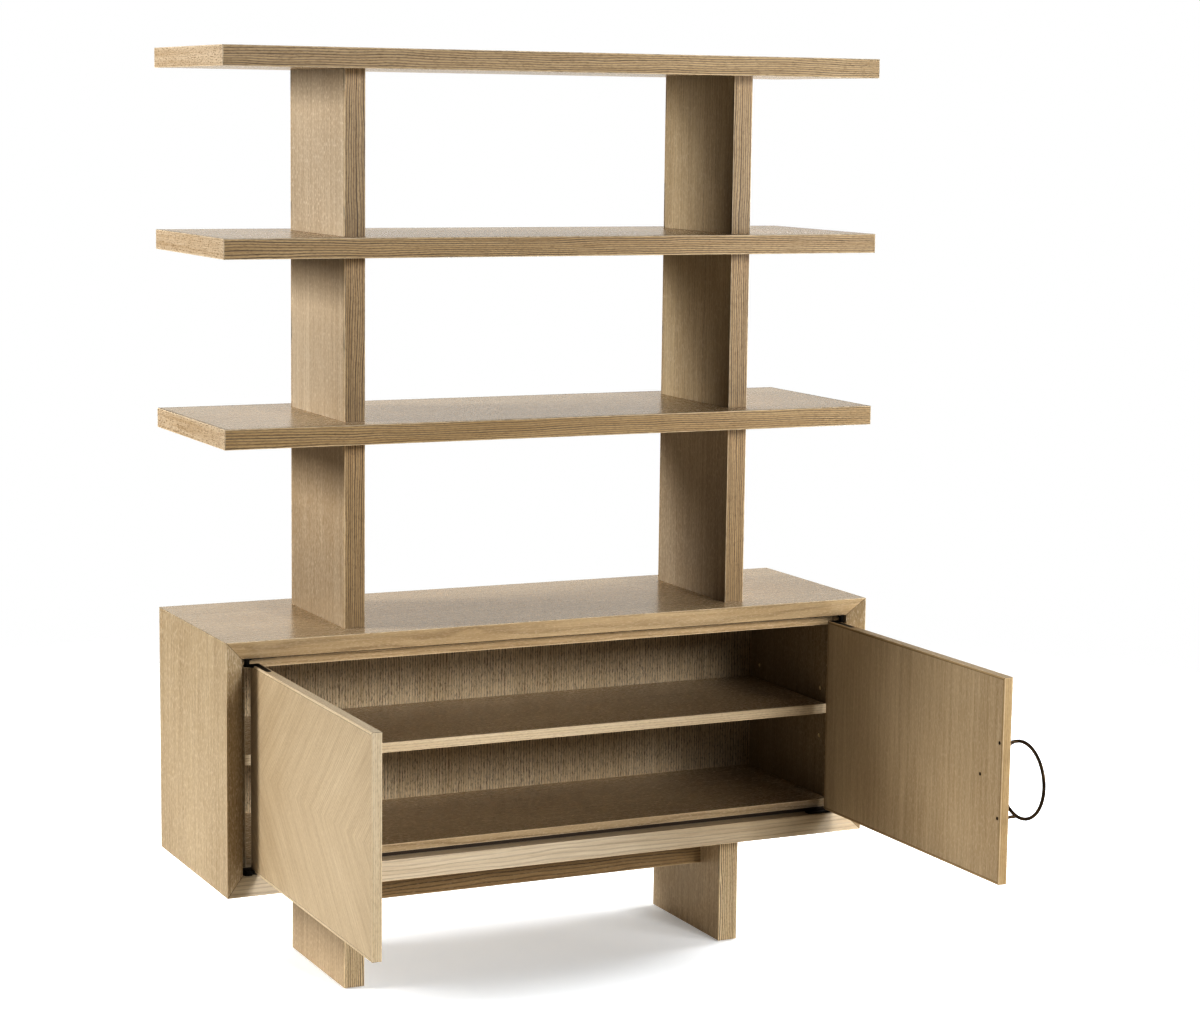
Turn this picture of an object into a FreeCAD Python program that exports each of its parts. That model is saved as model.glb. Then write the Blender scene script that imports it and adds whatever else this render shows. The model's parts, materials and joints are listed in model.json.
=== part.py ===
import FreeCAD, Part
import math
import os

Vector = FreeCAD.Vector
UP = Vector(0, 0, 1)
DOWN = Vector(0, 0, -1)
BACK = Vector(0, 1, 0)
FRONT = Vector(0, -1, 0)
RIGHT = Vector(1, 0, 0)
LEFT = Vector(-1, 0, 0)

# Frame: millimetres, +Z up, +X to the right, +Y to the back.
# The origin is on the floor, under the middle of the case.

# Overall sizes
overall_width = 1524.0
overall_depth = 468.0
case_underside_height = 249.0
case_height = 541.0
lower_bay_height = 398.0
middle_bay_height = 345.0
upper_bay_height = 345.0
shelf_thickness = 42.0
edging_thickness = 6.0
edge_round = 1.0

# Upright panels, legs and rails
upright_thickness = 46.0
upright_depth = 334.0
upright_centre_x = 455.5
rail_thickness = 22.0
rail_height = 84.0
rail_setback = 93.0
glide_height = 3.0
glide_radius = 11.0
glide_inset = 35.0

# Mitred case
case_wall = 40.0
bevel_setback = 20.0
spline_width = 22.0
spline_thickness = 4.0
spline_end_inset = 45.0

# Liner inside the case, with its back panel
liner_thickness = 18.0
liner_setback = 54.0
batten_thickness = 8.0
batten_width = 40.0
batten_setback = 2.0
back_panel_thickness = 10.0
back_recess = 24.0
back_panel_play = 0.5

# Cupboard shelf, its pins and their sleeves
cupboard_shelf_thickness = 22.0
cupboard_shelf_rise = 198.5
cupboard_shelf_setback = 12.0
cupboard_shelf_side_gap = 1.5
cupboard_shelf_back_gap = 2.0
shelf_pin_radius = 2.5
shelf_pin_reach = 9.0
shelf_pin_depth = 10.0
shelf_pin_inset = 44.0
shelf_pin_row_pitch = 56.0
shelf_seat_gap = 0.3
sleeve_radius = 4.0
sleeve_depth = 12.0
sleeve_lip_radius = 5.0
sleeve_lip_height = 0.8
sleeve_play = 0.05

# Doors
door_thickness = 20.0
door_edging = 5.0
door_stop_gap = 2.0
door_side_gap = 4.0
door_meeting_gap = 3.0
door_bottom_gap = 8.5
door_top_gap = 13.0
door_rest_angle = 90.4

# Offset pivot hinges
pivot_front_offset = 10.0
pivot_edge_offset = 7.5
hinge_boss_radius = 7.0
hinge_pin_radius = 3.0
hinge_pin_play = 0.05
hinge_pin_end = 1.0
hinge_spacer_radius = 5.5
hinge_top_play = 0.3
door_leaf_thickness = 3.5
door_leaf_width = 12.0
door_leaf_length = 95.0
door_leaf_ear = 27.5
door_leaf_end_gap = 2.0
case_leaf_thickness = 3.0
case_leaf_length = 76.0
case_leaf_front_gap = 6.0
case_leaf_width = 22.0
case_leaf_neck = 6.0
leaf_corner_radius = 3.0

# Ring handle
ring_radius = 81.0
ring_rod_radius = 3.5
ring_standoff = 29.0
ring_post_angle = 81.0
post_flange_radius = 6.5
post_flange_height = 2.0
post_neck_radius = 3.2
post_taper_height = 7.0
handle_screw_radius = 2.0
handle_screw_grip = 12.0
handle_screw_head_radius = 3.4
handle_screw_head_height = 1.6
handle_recess_radius = 4.0
handle_recess_depth = 2.0

# Joinery
dowel_radius = 5.0
dowel_length = 32.0
dowel_spacing = 120.0
dowel_chamfer = 1.0
dowel_end_play = 1.0
rail_dowel_radius = 4.0
rail_dowel_length = 40.0
rail_dowel_spacing = 44.0
tie_rod_radius = 4.0
tie_rod_play = 0.5
tie_rod_spacing = 220.0
tie_rod_grip = 24.0
tie_rod_tail = 3.0
tie_nut_flats = 13.0
tie_nut_height = 6.5
tie_nut_recess_radius = 11.0
tie_nut_recess_depth = 12.0
leg_bolt_radius = 4.0
leg_bolt_play = 0.3
leg_bolt_length = 80.0
leg_bolt_spacing = 200.0
leg_bolt_head_radius = 6.5
leg_bolt_head_height = 8.0
leg_bolt_recess_radius = 8.0
leg_bolt_recess_depth = 10.0
hinge_screw_radius = 1.6
hinge_screw_head_radius = 3.2
hinge_screw_head_height = 1.8
hinge_screw_length = 24.0
back_screw_radius = 1.75
back_screw_head_radius = 3.5
back_screw_head_height = 2.2
back_screw_length = 32.0
back_screw_end_inset = 60.0
overrun = 5.0
join_tolerance = 0.000001

# Counts and shares
upright_sides = (("left", -1), ("right", 1))
door_screw_shares = (0.50, 0.68, 0.86)
case_screw_shares = (0.34, 0.62, 0.88)
back_screw_shares = (0.0, 0.25, 0.5, 0.75, 1.0)
pin_rows = (-1, 0, 1)

# Levels and planes worked out from the sizes above
half_width = overall_width / 2
front_y = -overall_depth / 2
back_y = overall_depth / 2
case_bottom_z = case_underside_height
case_top_z = case_bottom_z + case_height
lower_shelf_z = case_top_z + lower_bay_height
middle_shelf_z = lower_shelf_z + shelf_thickness + middle_bay_height
top_shelf_z = middle_shelf_z + shelf_thickness + upper_bay_height
inner_half = half_width - case_wall
inner_bottom_z = case_bottom_z + case_wall
inner_top_z = case_top_z - case_wall
liner_front_y = front_y + liner_setback
back_panel_back_y = back_y - back_recess
back_panel_front_y = back_panel_back_y - back_panel_thickness
liner_bottom_z = inner_bottom_z + batten_thickness
liner_top_z = inner_top_z - batten_thickness
liner_inner_half = inner_half - liner_thickness
liner_floor_z = liner_bottom_z + liner_thickness
liner_ceiling_z = liner_top_z - liner_thickness
cupboard_shelf_z = liner_floor_z + cupboard_shelf_rise
shelf_pin_z = cupboard_shelf_z - shelf_seat_gap - shelf_pin_radius
door_inner_y = liner_front_y - door_stop_gap
door_outer_y = door_inner_y - door_thickness
door_hinge_x = inner_half - door_side_gap
door_free_x = door_meeting_gap / 2
door_bottom_z = inner_bottom_z + door_bottom_gap
door_top_z = inner_top_z - door_top_gap
door_width = door_hinge_x - door_free_x
door_height = door_top_z - door_bottom_z
pivot_x = door_hinge_x - pivot_edge_offset
pivot_y = door_outer_y - pivot_front_offset
ring_y = door_outer_y - ring_standoff
ring_z = (door_bottom_z + door_top_z) / 2


def box(x0, x1, y0, y1, z0, z1):
    """Upright block between two corners."""
    return Part.makeBox(x1 - x0, y1 - y0, z1 - z0, Vector(x0, y0, z0))


def drill(radius, depth, place, direction):
    """Round cutter that starts at a place and runs along a direction."""
    return Part.makeCylinder(radius, depth, place, direction)


def turned(profile, place, direction):
    """Solid of revolution from (radius, height) steps, its height along a direction."""
    points = [Vector(radius, 0, height) for radius, height in profile]
    face = Part.Face(Part.makePolygon(points + points[:1]))
    solid = face.revolve(Vector(0, 0, 0), UP, 360)
    solid.Placement = FreeCAD.Placement(place, FreeCAD.Rotation(UP, direction))
    return solid


def rounded_plate(corners, bottom_z, thickness):
    """Flat plate with an outline of (x, y, corner radius)."""
    stations = []
    for index, (x, y, radius) in enumerate(corners):
        here = Vector(x, y, bottom_z)
        before = corners[index - 1]
        after = corners[(index + 1) % len(corners)]
        to_before = (Vector(before[0], before[1], bottom_z) - here).normalize()
        to_after = (Vector(after[0], after[1], bottom_z) - here).normalize()
        half_angle = to_before.getAngle(to_after) / 2
        reach = radius / math.tan(half_angle)
        inward = (to_before + to_after).normalize()
        centre = here + inward * (radius / math.sin(half_angle))
        stations.append((here + to_before * reach, centre - inward * radius, here + to_after * reach))
    edges = []
    for index, (start, middle, end) in enumerate(stations):
        following = stations[(index + 1) % len(stations)][0]
        edges.append(Part.Arc(start, middle, end).toShape())
        if not end.isEqual(following, join_tolerance):
            edges.append(Part.LineSegment(end, following).toShape())
    return Part.Face(Part.Wire(edges)).extrude(UP * thickness)


def trapezium_prism(length, breadth, inset, thickness):
    """Wedge that holds one side of a mitred rectangular frame, its long edge at -Y."""
    points = [
        Vector(-length / 2, -breadth / 2, 0),
        Vector(length / 2, -breadth / 2, 0),
        Vector(length / 2 - inset, -breadth / 2 + inset, 0),
        Vector(-length / 2 + inset, -breadth / 2 + inset, 0),
    ]
    return Part.Face(Part.makePolygon(points + points[:1])).extrude(UP * thickness)


def mitred_split(frame, length, breadth, inset, thickness):
    """Cut a flat rectangular frame into its four mitred sides: front, back, left, right."""
    centre = Vector(0, 0, 0)
    front = trapezium_prism(length, breadth, inset, thickness)
    back = front.copy()
    back.rotate(centre, UP, 180)
    left = trapezium_prism(breadth, length, inset, thickness)
    left.rotate(centre, UP, -90)
    right = left.copy()
    right.rotate(centre, UP, 180)
    return [frame.common(wedge).Solids[0] for wedge in (front, back, left, right)]


def edged_board(length, breadth, thickness, strip):
    """Flat board on Z = 0 with a mitred strip of solid oak round all four edges."""
    outer = box(-length / 2, length / 2, -breadth / 2, breadth / 2, 0, thickness)
    core = box(
        -length / 2 + strip,
        length / 2 - strip,
        -breadth / 2 + strip,
        breadth / 2 - strip,
        0,
        thickness,
    )
    frame = outer.makeFillet(edge_round, outer.Edges).cut(core)
    return core, mitred_split(frame, length, breadth, strip, thickness)


def edging_strip(outward, bottom_z, height):
    """Vertical oak strip on the front or back edge of a panel that stands on the upright line."""
    outer_y = outward * upright_depth / 2
    inner_y = outward * (upright_depth / 2 - edging_thickness)
    half = upright_thickness / 2
    low_y, high_y = sorted((outer_y, inner_y))
    strip = box(-half, half, low_y, high_y, bottom_z, bottom_z + height)
    arrises = []
    for edge in strip.Edges:
        upright = abs(edge.tangentAt(edge.FirstParameter).z) > 0.5
        if upright and abs(edge.CenterOfMass.y - outer_y) < edge_round:
            arrises.append(edge)
    return strip.makeFillet(edge_round, arrises)


def at_stack(shape, sign):
    """Move a shape made on the centre line to the left or right upright line."""
    moved = shape.copy()
    moved.translate(RIGHT * (sign * upright_centre_x))
    return moved


def cut_all(body, cutters):
    """Take every cutter out of a body."""
    return body.cut(cutters) if cutters else body


def spread(spacing):
    """Two places that lie a spacing apart about zero."""
    return (-spacing / 2, spacing / 2)


def dowel(radius, length, place, direction):
    """Fluted beech dowel as a plain rod with chamfered ends, centred on a place."""
    profile = [
        (0, 0),
        (radius - dowel_chamfer, 0),
        (radius, dowel_chamfer),
        (radius, length - dowel_chamfer),
        (radius - dowel_chamfer, length),
        (0, length),
    ]
    return turned(profile, place - direction * (length / 2), direction)


def joint_levels():
    """Heights of the six faces where an upright panel meets a case or a shelf."""
    levels = []
    for bottom, height in upright_spans():
        levels.append(bottom)
        levels.append(bottom + height)
    return levels


def upright_spans():
    """Bottom and height of the lower, middle and upper upright panels."""
    return (
        (case_top_z, lower_bay_height),
        (lower_shelf_z + shelf_thickness, middle_bay_height),
        (middle_shelf_z + shelf_thickness, upper_bay_height),
    )


def stack_holes():
    """Cutters for the dowels and tie rods of both stacks."""
    cutters = []
    for side, sign in upright_sides:
        x = sign * upright_centre_x
        for level in joint_levels():
            for y in spread(dowel_spacing):
                start = Vector(x, y, level - dowel_length / 2 - dowel_end_play)
                cutters.append(drill(dowel_radius, dowel_length + 2 * dowel_end_play, start, UP))
        for y in spread(tie_rod_spacing):
            start = Vector(x, y, inner_top_z - overrun)
            length = top_shelf_z + tie_rod_grip + dowel_end_play - start.z
            cutters.append(drill(tie_rod_radius + tie_rod_play, length, start, UP))
    return cutters


def stack_dowels():
    """Dowels that locate the upright panels in the case and the shelves."""
    dowels = []
    for side, sign in upright_sides:
        for level in joint_levels():
            for y in spread(dowel_spacing):
                place = Vector(sign * upright_centre_x, y, level)
                dowels.append(dowel(dowel_radius, dowel_length, place, UP))
    return dowels


def tie_rod_start_z():
    """Lower end of a tie rod, inside the recess under the case top."""
    nut_bottom = inner_top_z + tie_nut_recess_depth - tie_nut_height
    return nut_bottom - tie_rod_tail


def tie_rods():
    """Rods inside the uprights that pull both stacks down onto the case."""
    rods = []
    length = top_shelf_z + tie_rod_grip - tie_rod_start_z()
    for side, sign in upright_sides:
        for y in spread(tie_rod_spacing):
            place = Vector(sign * upright_centre_x, y, tie_rod_start_z())
            profile = [(0, 0), (tie_rod_radius, 0), (tie_rod_radius, length), (0, length)]
            rods.append(turned(profile, place, UP))
    return rods


def tie_nuts():
    """Hexagon nuts on the lower ends of the tie rods."""
    nuts = []
    corner = tie_nut_flats / math.sqrt(3)
    bottom = inner_top_z + tie_nut_recess_depth - tie_nut_height
    for side, sign in upright_sides:
        for y in spread(tie_rod_spacing):
            centre = Vector(sign * upright_centre_x, y, bottom)
            ring = [
                centre + Vector(corner * math.cos(turn), corner * math.sin(turn), 0)
                for turn in (math.radians(60 * step) for step in range(6))
            ]
            blank = Part.Face(Part.makePolygon(ring + ring[:1])).extrude(UP * tie_nut_height)
            nuts.append(blank.cut(drill(tie_rod_radius, tie_nut_height, centre, UP)))
    return nuts


def build_shelves(cutters):
    """Three long shelves, each a veneered board with mitred oak edging."""
    nodes = {}
    levels = {"lower": lower_shelf_z, "middle": middle_shelf_z, "top": top_shelf_z}
    for name, level in levels.items():
        core, strips = edged_board(overall_width, overall_depth, shelf_thickness, edging_thickness)
        core.translate(UP * level)
        for strip in strips:
            strip.translate(UP * level)
        nodes[name + "_shelf_panel"] = [cut_all(core, cutters)]
        nodes[name + "_shelf_edging"] = strips
    return nodes


def build_uprights(cutters):
    """Six upright panels in two stacks, with oak strips on their front and back edges."""
    nodes = {}
    strips = []
    panel_half_depth = upright_depth / 2 - edging_thickness
    half = upright_thickness / 2
    for side, sign in upright_sides:
        for name, (bottom, height) in zip(("lower", "middle", "upper"), upright_spans()):
            panel = box(-half, half, -panel_half_depth, panel_half_depth, bottom, bottom + height)
            nodes[side + "_" + name + "_upright"] = [cut_all(at_stack(panel, sign), cutters)]
            for outward in (-1, 1):
                strips.append(at_stack(edging_strip(outward, bottom, height), sign))
    nodes["upright_edging"] = strips
    return nodes


def leg_bolt_places():
    """Seats of the leg bolts' heads, inside the case bottom."""
    places = []
    for side, sign in upright_sides:
        for y in spread(leg_bolt_spacing):
            places.append(Vector(sign * upright_centre_x, y, inner_bottom_z - leg_bolt_recess_depth))
    return places


def leg_bolt_cutters():
    """Recess and hole for every leg bolt."""
    cutters = []
    for place in leg_bolt_places():
        depth = leg_bolt_length + dowel_end_play
        cutters.append(drill(leg_bolt_radius + leg_bolt_play, depth, place, DOWN))
        cutters.append(drill(leg_bolt_recess_radius, leg_bolt_recess_depth + overrun, place, UP))
    return cutters


def leg_bolts():
    """Bolts that hold the legs under the case."""
    bolts = []
    for place in leg_bolt_places():
        profile = [
            (0, -leg_bolt_length),
            (leg_bolt_radius, -leg_bolt_length),
            (leg_bolt_radius, 0),
            (leg_bolt_head_radius, 0),
            (leg_bolt_head_radius, leg_bolt_head_height),
            (0, leg_bolt_head_height),
        ]
        bolts.append(turned(profile, place, UP))
    return bolts


def rail_dowel_places():
    """Centres of the dowels between the rails and the legs, with the direction into the leg."""
    places = []
    leg_face_x = upright_centre_x - upright_thickness / 2
    rail_middle_y = upright_depth / 2 - rail_setback - rail_thickness / 2
    rail_middle_z = case_bottom_z - rail_height / 2
    for side, sign in upright_sides:
        for y in (-rail_middle_y, rail_middle_y):
            for rise in spread(rail_dowel_spacing):
                places.append(Vector(sign * leg_face_x, y, rail_middle_z + rise))
    return places


def rail_dowel_cutters():
    """Holes for the rail dowels."""
    length = rail_dowel_length + 2 * dowel_end_play
    return [
        drill(rail_dowel_radius, length, place - RIGHT * (length / 2), RIGHT)
        for place in rail_dowel_places()
    ]


def build_base():
    """Two leg panels under the case, two rails between them, and the glides."""
    nodes = {}
    half = upright_thickness / 2
    panel_half_depth = upright_depth / 2 - edging_thickness
    leg_height = case_bottom_z - glide_height
    cutters = leg_bolt_cutters() + rail_dowel_cutters()
    glides = []
    strips = []
    for side, sign in upright_sides:
        panel = box(-half, half, -panel_half_depth, panel_half_depth, glide_height, case_bottom_z)
        nodes[side + "_leg_panel"] = [cut_all(at_stack(panel, sign), cutters)]
        for outward in (-1, 1):
            strips.append(at_stack(edging_strip(outward, glide_height, leg_height), sign))
        for y in spread(upright_depth - 2 * glide_inset):
            profile = [
                (0, 0),
                (glide_radius - edge_round, 0),
                (glide_radius, edge_round),
                (glide_radius, glide_height),
                (0, glide_height),
            ]
            glides.append(turned(profile, Vector(sign * upright_centre_x, y, 0), UP))
    nodes["leg_edging"] = strips
    nodes["floor_glides"] = glides
    rail_reach = upright_centre_x - half
    rail_front = -upright_depth / 2 + rail_setback
    rail_spans = {"front": rail_front, "rear": -rail_front - rail_thickness}
    for name, rail_y in rail_spans.items():
        rail = box(
            -rail_reach,
            rail_reach,
            rail_y,
            rail_y + rail_thickness,
            case_bottom_z - rail_height,
            case_bottom_z,
        )
        nodes[name + "_rail"] = [cut_all(rail, rail_dowel_cutters())]
    nodes["rail_dowels"] = [
        dowel(rail_dowel_radius, rail_dowel_length, place, RIGHT) for place in rail_dowel_places()
    ]
    nodes["leg_bolts"] = leg_bolts()
    return nodes


def front_rectangle(half_x, low_z, high_z, y):
    """Closed rectangle that faces the front."""
    points = [
        Vector(-half_x, y, low_z),
        Vector(half_x, y, low_z),
        Vector(half_x, y, high_z),
        Vector(-half_x, y, high_z),
    ]
    return Part.makePolygon(points + points[:1])


def mitre_splines():
    """Loose tongues across the four mitres, with the turn of each corner."""
    splines = []
    middle_z = (case_bottom_z + case_top_z) / 2
    length = overall_depth - 2 * spline_end_inset
    for sign_x in (-1, 1):
        for sign_z in (-1, 1):
            tongue = box(
                -spline_width / 2,
                spline_width / 2,
                -length / 2,
                length / 2,
                -spline_thickness / 2,
                spline_thickness / 2,
            )
            tongue.rotate(Vector(0, 0, 0), BACK, 45 * sign_x * sign_z)
            corner_x = sign_x * (half_width - case_wall / 2)
            corner_z = middle_z + sign_z * (case_height / 2 - case_wall / 2)
            tongue.translate(Vector(corner_x, 0, corner_z))
            splines.append(tongue)
    return splines


def build_case(stack_cutters):
    """Mitred case of four boards whose front edges slope inwards like a picture frame."""
    outer = box(-half_width, half_width, front_y, back_y, case_bottom_z, case_top_z)
    outer = outer.makeFillet(edge_round, outer.Edges)
    hollow = box(
        -inner_half,
        inner_half,
        front_y - overrun,
        back_y + overrun,
        inner_bottom_z,
        inner_top_z,
    )
    rim = edge_round * bevel_setback / case_wall
    splay = Part.makeLoft(
        [
            front_rectangle(half_width - edge_round, case_bottom_z + edge_round, case_top_z - edge_round, front_y),
            front_rectangle(inner_half, inner_bottom_z, inner_top_z, front_y + bevel_setback - rim),
        ],
        True,
        True,
    )
    shell = outer.cut([hollow, splay])
    splines = mitre_splines()
    shell = shell.cut(splines)
    shell.translate(DOWN * ((case_bottom_z + case_top_z) / 2))
    shell.rotate(Vector(0, 0, 0), RIGHT, -90)
    shell.translate(UP * (overall_depth / 2))
    boards = mitred_split(shell, overall_width, case_height, case_wall, overall_depth)
    nodes = {}
    names = ("case_bottom_board", "case_top_board", "case_left_board", "case_right_board")
    for name, board in zip(names, boards):
        board.translate(DOWN * (overall_depth / 2))
        board.rotate(Vector(0, 0, 0), RIGHT, 90)
        board.translate(UP * ((case_bottom_z + case_top_z) / 2))
        nodes[name] = [board]
    recesses = []
    for side, sign in upright_sides:
        for y in spread(tie_rod_spacing):
            place = Vector(sign * upright_centre_x, y, inner_top_z - overrun)
            depth = tie_nut_recess_depth + overrun
            recesses.append(drill(tie_nut_recess_radius, depth, place, UP))
    screws = all_case_hinge_screws()
    top_cutters = stack_cutters + recesses + screws
    bottom_cutters = leg_bolt_cutters() + screws
    nodes["case_top_board"] = [cut_all(nodes["case_top_board"][0], top_cutters)]
    nodes["case_bottom_board"] = [cut_all(nodes["case_bottom_board"][0], bottom_cutters)]
    nodes["mitre_splines"] = splines
    return nodes


def back_screw_places():
    """Head seats of the screws that hold the back panel to the liner."""
    places = []
    reach = liner_inner_half - back_screw_end_inset
    for z in (liner_floor_z - liner_thickness / 2, liner_ceiling_z + liner_thickness / 2):
        for share in back_screw_shares:
            places.append(Vector(-reach + 2 * reach * share, back_panel_back_y, z))
    return places


def countersunk_screw(radius, head_radius, head_height, length, place, direction):
    """Flat-headed wood screw, its head flush at a place and its shank along a direction."""
    profile = [
        (0, 0),
        (head_radius, 0),
        (radius, head_height),
        (radius, length - 2 * radius),
        (0, length),
    ]
    return turned(profile, place, direction)


def pin_columns():
    """Depths of the front and rear columns of shelf pins."""
    return (liner_front_y + shelf_pin_inset, back_panel_front_y - shelf_pin_inset)


def sleeve(place, direction):
    """Brass lining of one shelf pin hole, with a thin lip on the wall."""
    bore = shelf_pin_radius + sleeve_play
    profile = [
        (bore, -sleeve_depth),
        (sleeve_radius, -sleeve_depth),
        (sleeve_radius, 0),
        (sleeve_lip_radius, 0),
        (sleeve_lip_radius, sleeve_lip_height),
        (bore, sleeve_lip_height),
    ]
    return turned(profile, place, direction)


def shelf_pin(place, direction):
    """Round pin that stands out of its sleeve to carry the cupboard shelf."""
    tip = shelf_pin_reach - edge_round
    profile = [
        (0, -shelf_pin_depth),
        (shelf_pin_radius, -shelf_pin_depth),
        (shelf_pin_radius, tip),
        (shelf_pin_radius - edge_round, shelf_pin_reach),
        (0, shelf_pin_reach),
    ]
    return turned(profile, place, direction)


def build_liner():
    """Inner box of four panels on battens, its back panel, screws, pins and sleeves."""
    nodes = {}
    sleeves = []
    pins = []
    sleeve_holes = []
    for side, sign in upright_sides:
        inward = LEFT * sign
        for y in pin_columns():
            for row in pin_rows:
                place = Vector(sign * liner_inner_half, y, shelf_pin_z + row * shelf_pin_row_pitch)
                sleeves.append(sleeve(place, inward))
                sleeve_holes.append(drill(sleeve_radius, sleeve_depth, place, RIGHT * sign))
            pin_place = Vector(sign * liner_inner_half, y, shelf_pin_z)
            pins.append(shelf_pin(pin_place, inward))
    screws = [
        countersunk_screw(
            back_screw_radius,
            back_screw_head_radius,
            back_screw_head_height,
            back_screw_length,
            place,
            FRONT,
        )
        for place in back_screw_places()
    ]
    spans = {
        "liner_left_side": (-inner_half, -liner_inner_half, liner_bottom_z, liner_top_z),
        "liner_right_side": (liner_inner_half, inner_half, liner_bottom_z, liner_top_z),
        "liner_bottom": (-liner_inner_half, liner_inner_half, liner_bottom_z, liner_floor_z),
        "liner_top": (-liner_inner_half, liner_inner_half, liner_ceiling_z, liner_top_z),
    }
    for name, (x0, x1, z0, z1) in spans.items():
        panel = box(x0, x1, liner_front_y, back_panel_front_y, z0, z1)
        nodes[name] = [cut_all(panel, sleeve_holes + screws)]
    back = box(
        -inner_half + back_panel_play,
        inner_half - back_panel_play,
        back_panel_front_y,
        back_panel_back_y,
        inner_bottom_z + back_panel_play,
        inner_top_z - back_panel_play,
    )
    nodes["back_panel"] = [cut_all(back, screws)]
    nodes["back_panel_screws"] = screws
    nodes["shelf_pin_sleeves"] = sleeves
    nodes["shelf_pins"] = pins
    front_batten_y = liner_front_y + batten_setback
    rear_batten_y = back_panel_front_y - batten_width
    battens = []
    for y in (front_batten_y, rear_batten_y):
        for z in (inner_bottom_z, liner_top_z):
            battens.append(box(-inner_half, inner_half, y, y + batten_width, z, z + batten_thickness))
    nodes["liner_battens"] = battens
    return nodes


def build_cupboard_shelf():
    """Loose shelf on four pins, with an oak strip on its front edge."""
    reach = liner_inner_half - cupboard_shelf_side_gap
    shelf_front = liner_front_y + cupboard_shelf_setback
    shelf_back = back_panel_front_y - cupboard_shelf_back_gap
    seam_y = shelf_front + edging_thickness
    top = cupboard_shelf_z + cupboard_shelf_thickness
    panel = box(-reach, reach, seam_y, shelf_back, cupboard_shelf_z, top)
    strip = box(-reach, reach, shelf_front, seam_y, cupboard_shelf_z, top)
    arrises = []
    for edge in strip.Edges:
        along = abs(edge.tangentAt(edge.FirstParameter).x) > 0.5
        if along and abs(edge.CenterOfMass.y - shelf_front) < edge_round:
            arrises.append(edge)
    return {
        "cupboard_shelf_panel": [panel],
        "cupboard_shelf_edging": [strip.makeFillet(edge_round, arrises)],
    }


def door_leaf_blank(bottom_z):
    """Right door's hinge leaf, closed: a flat bar in the door's edge with an ear out to the pivot."""
    middle_y = door_outer_y + door_thickness / 2
    near_y = middle_y - door_leaf_width / 2
    far_y = middle_y + door_leaf_width / 2
    root_x = door_hinge_x - door_leaf_end_gap
    tip_x = door_hinge_x - door_leaf_length
    round_end = door_leaf_width * 0.49
    corners = [
        (pivot_x + hinge_boss_radius, pivot_y - hinge_boss_radius, hinge_boss_radius * 0.99),
        (pivot_x - hinge_boss_radius, pivot_y - hinge_boss_radius, hinge_boss_radius * 0.99),
        (door_hinge_x - door_leaf_ear, near_y, leaf_corner_radius),
        (tip_x, near_y, round_end),
        (tip_x, far_y, round_end),
        (root_x, far_y, leaf_corner_radius),
    ]
    return rounded_plate(corners, bottom_z, door_leaf_thickness)


def case_leaf_blank(bottom_z):
    """Right hinge leaf on the case: a plate behind the bevel with a boss at the pivot."""
    near_y = pivot_y + case_leaf_front_gap
    far_y = near_y + case_leaf_width
    tip_x = door_hinge_x - case_leaf_length
    corners = [
        (pivot_x + hinge_boss_radius, pivot_y - hinge_boss_radius, hinge_boss_radius * 0.99),
        (pivot_x - hinge_boss_radius, pivot_y - hinge_boss_radius, hinge_boss_radius * 0.99),
        (pivot_x - hinge_boss_radius - case_leaf_neck, near_y, leaf_corner_radius),
        (tip_x, near_y, leaf_corner_radius),
        (tip_x, far_y, leaf_corner_radius),
        (pivot_x + hinge_boss_radius, far_y, leaf_corner_radius),
    ]
    return rounded_plate(corners, bottom_z, case_leaf_thickness)


def hinge_levels():
    """Heights of one hinge's parts at the bottom and top of a door.

    Each entry gives the case leaf's bottom, the door leaf's bottom, the spacer's bottom and top,
    the pin's bottom and top, and which way the case leaf's screws run.
    """
    top_leaf = door_top_z - door_leaf_thickness
    bottom_leaf_top = door_bottom_z + door_leaf_thickness
    return {
        "bottom": {
            "case_leaf": inner_bottom_z,
            "door_leaf": door_bottom_z,
            "spacer": (inner_bottom_z + case_leaf_thickness, door_bottom_z),
            "pin": (inner_bottom_z, bottom_leaf_top + hinge_pin_end),
            "screws": (inner_bottom_z + case_leaf_thickness, DOWN),
            "door_screws": (door_bottom_z, UP),
        },
        "top": {
            "case_leaf": inner_top_z - case_leaf_thickness,
            "door_leaf": top_leaf,
            "spacer": (door_top_z + hinge_top_play, inner_top_z - case_leaf_thickness),
            "pin": (top_leaf - hinge_pin_end, inner_top_z),
            "screws": (inner_top_z - case_leaf_thickness, UP),
            "door_screws": (door_top_z, DOWN),
        },
    }


def case_hinge_screws(level):
    """Screws of one case leaf."""
    height, direction = level["screws"]
    middle_y = pivot_y + case_leaf_front_gap + case_leaf_width / 2
    return [
        countersunk_screw(
            hinge_screw_radius,
            hinge_screw_head_radius,
            hinge_screw_head_height,
            hinge_screw_length,
            Vector(door_hinge_x - case_leaf_length * share, middle_y, height),
            direction,
        )
        for share in case_screw_shares
    ]


def door_hinge_screws(level):
    """Screws of one door leaf."""
    height, direction = level["door_screws"]
    middle_y = door_outer_y + door_thickness / 2
    return [
        countersunk_screw(
            hinge_screw_radius,
            hinge_screw_head_radius,
            hinge_screw_head_height,
            hinge_screw_length,
            Vector(door_hinge_x - door_leaf_length * share, middle_y, height),
            direction,
        )
        for share in door_screw_shares
    ]


def all_case_hinge_screws():
    """Screws of the four case leaves, for both sides."""
    screws = []
    for side, sign in upright_sides:
        for level in hinge_levels().values():
            screws.extend(on_side(screw, sign) for screw in case_hinge_screws(level))
    return screws


def pin_bore(radius, low_z, high_z):
    """Round cutter on the right door's pivot axis."""
    start = Vector(pivot_x, pivot_y, low_z - overrun)
    return drill(radius, high_z - low_z + 2 * overrun, start, UP)


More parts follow.
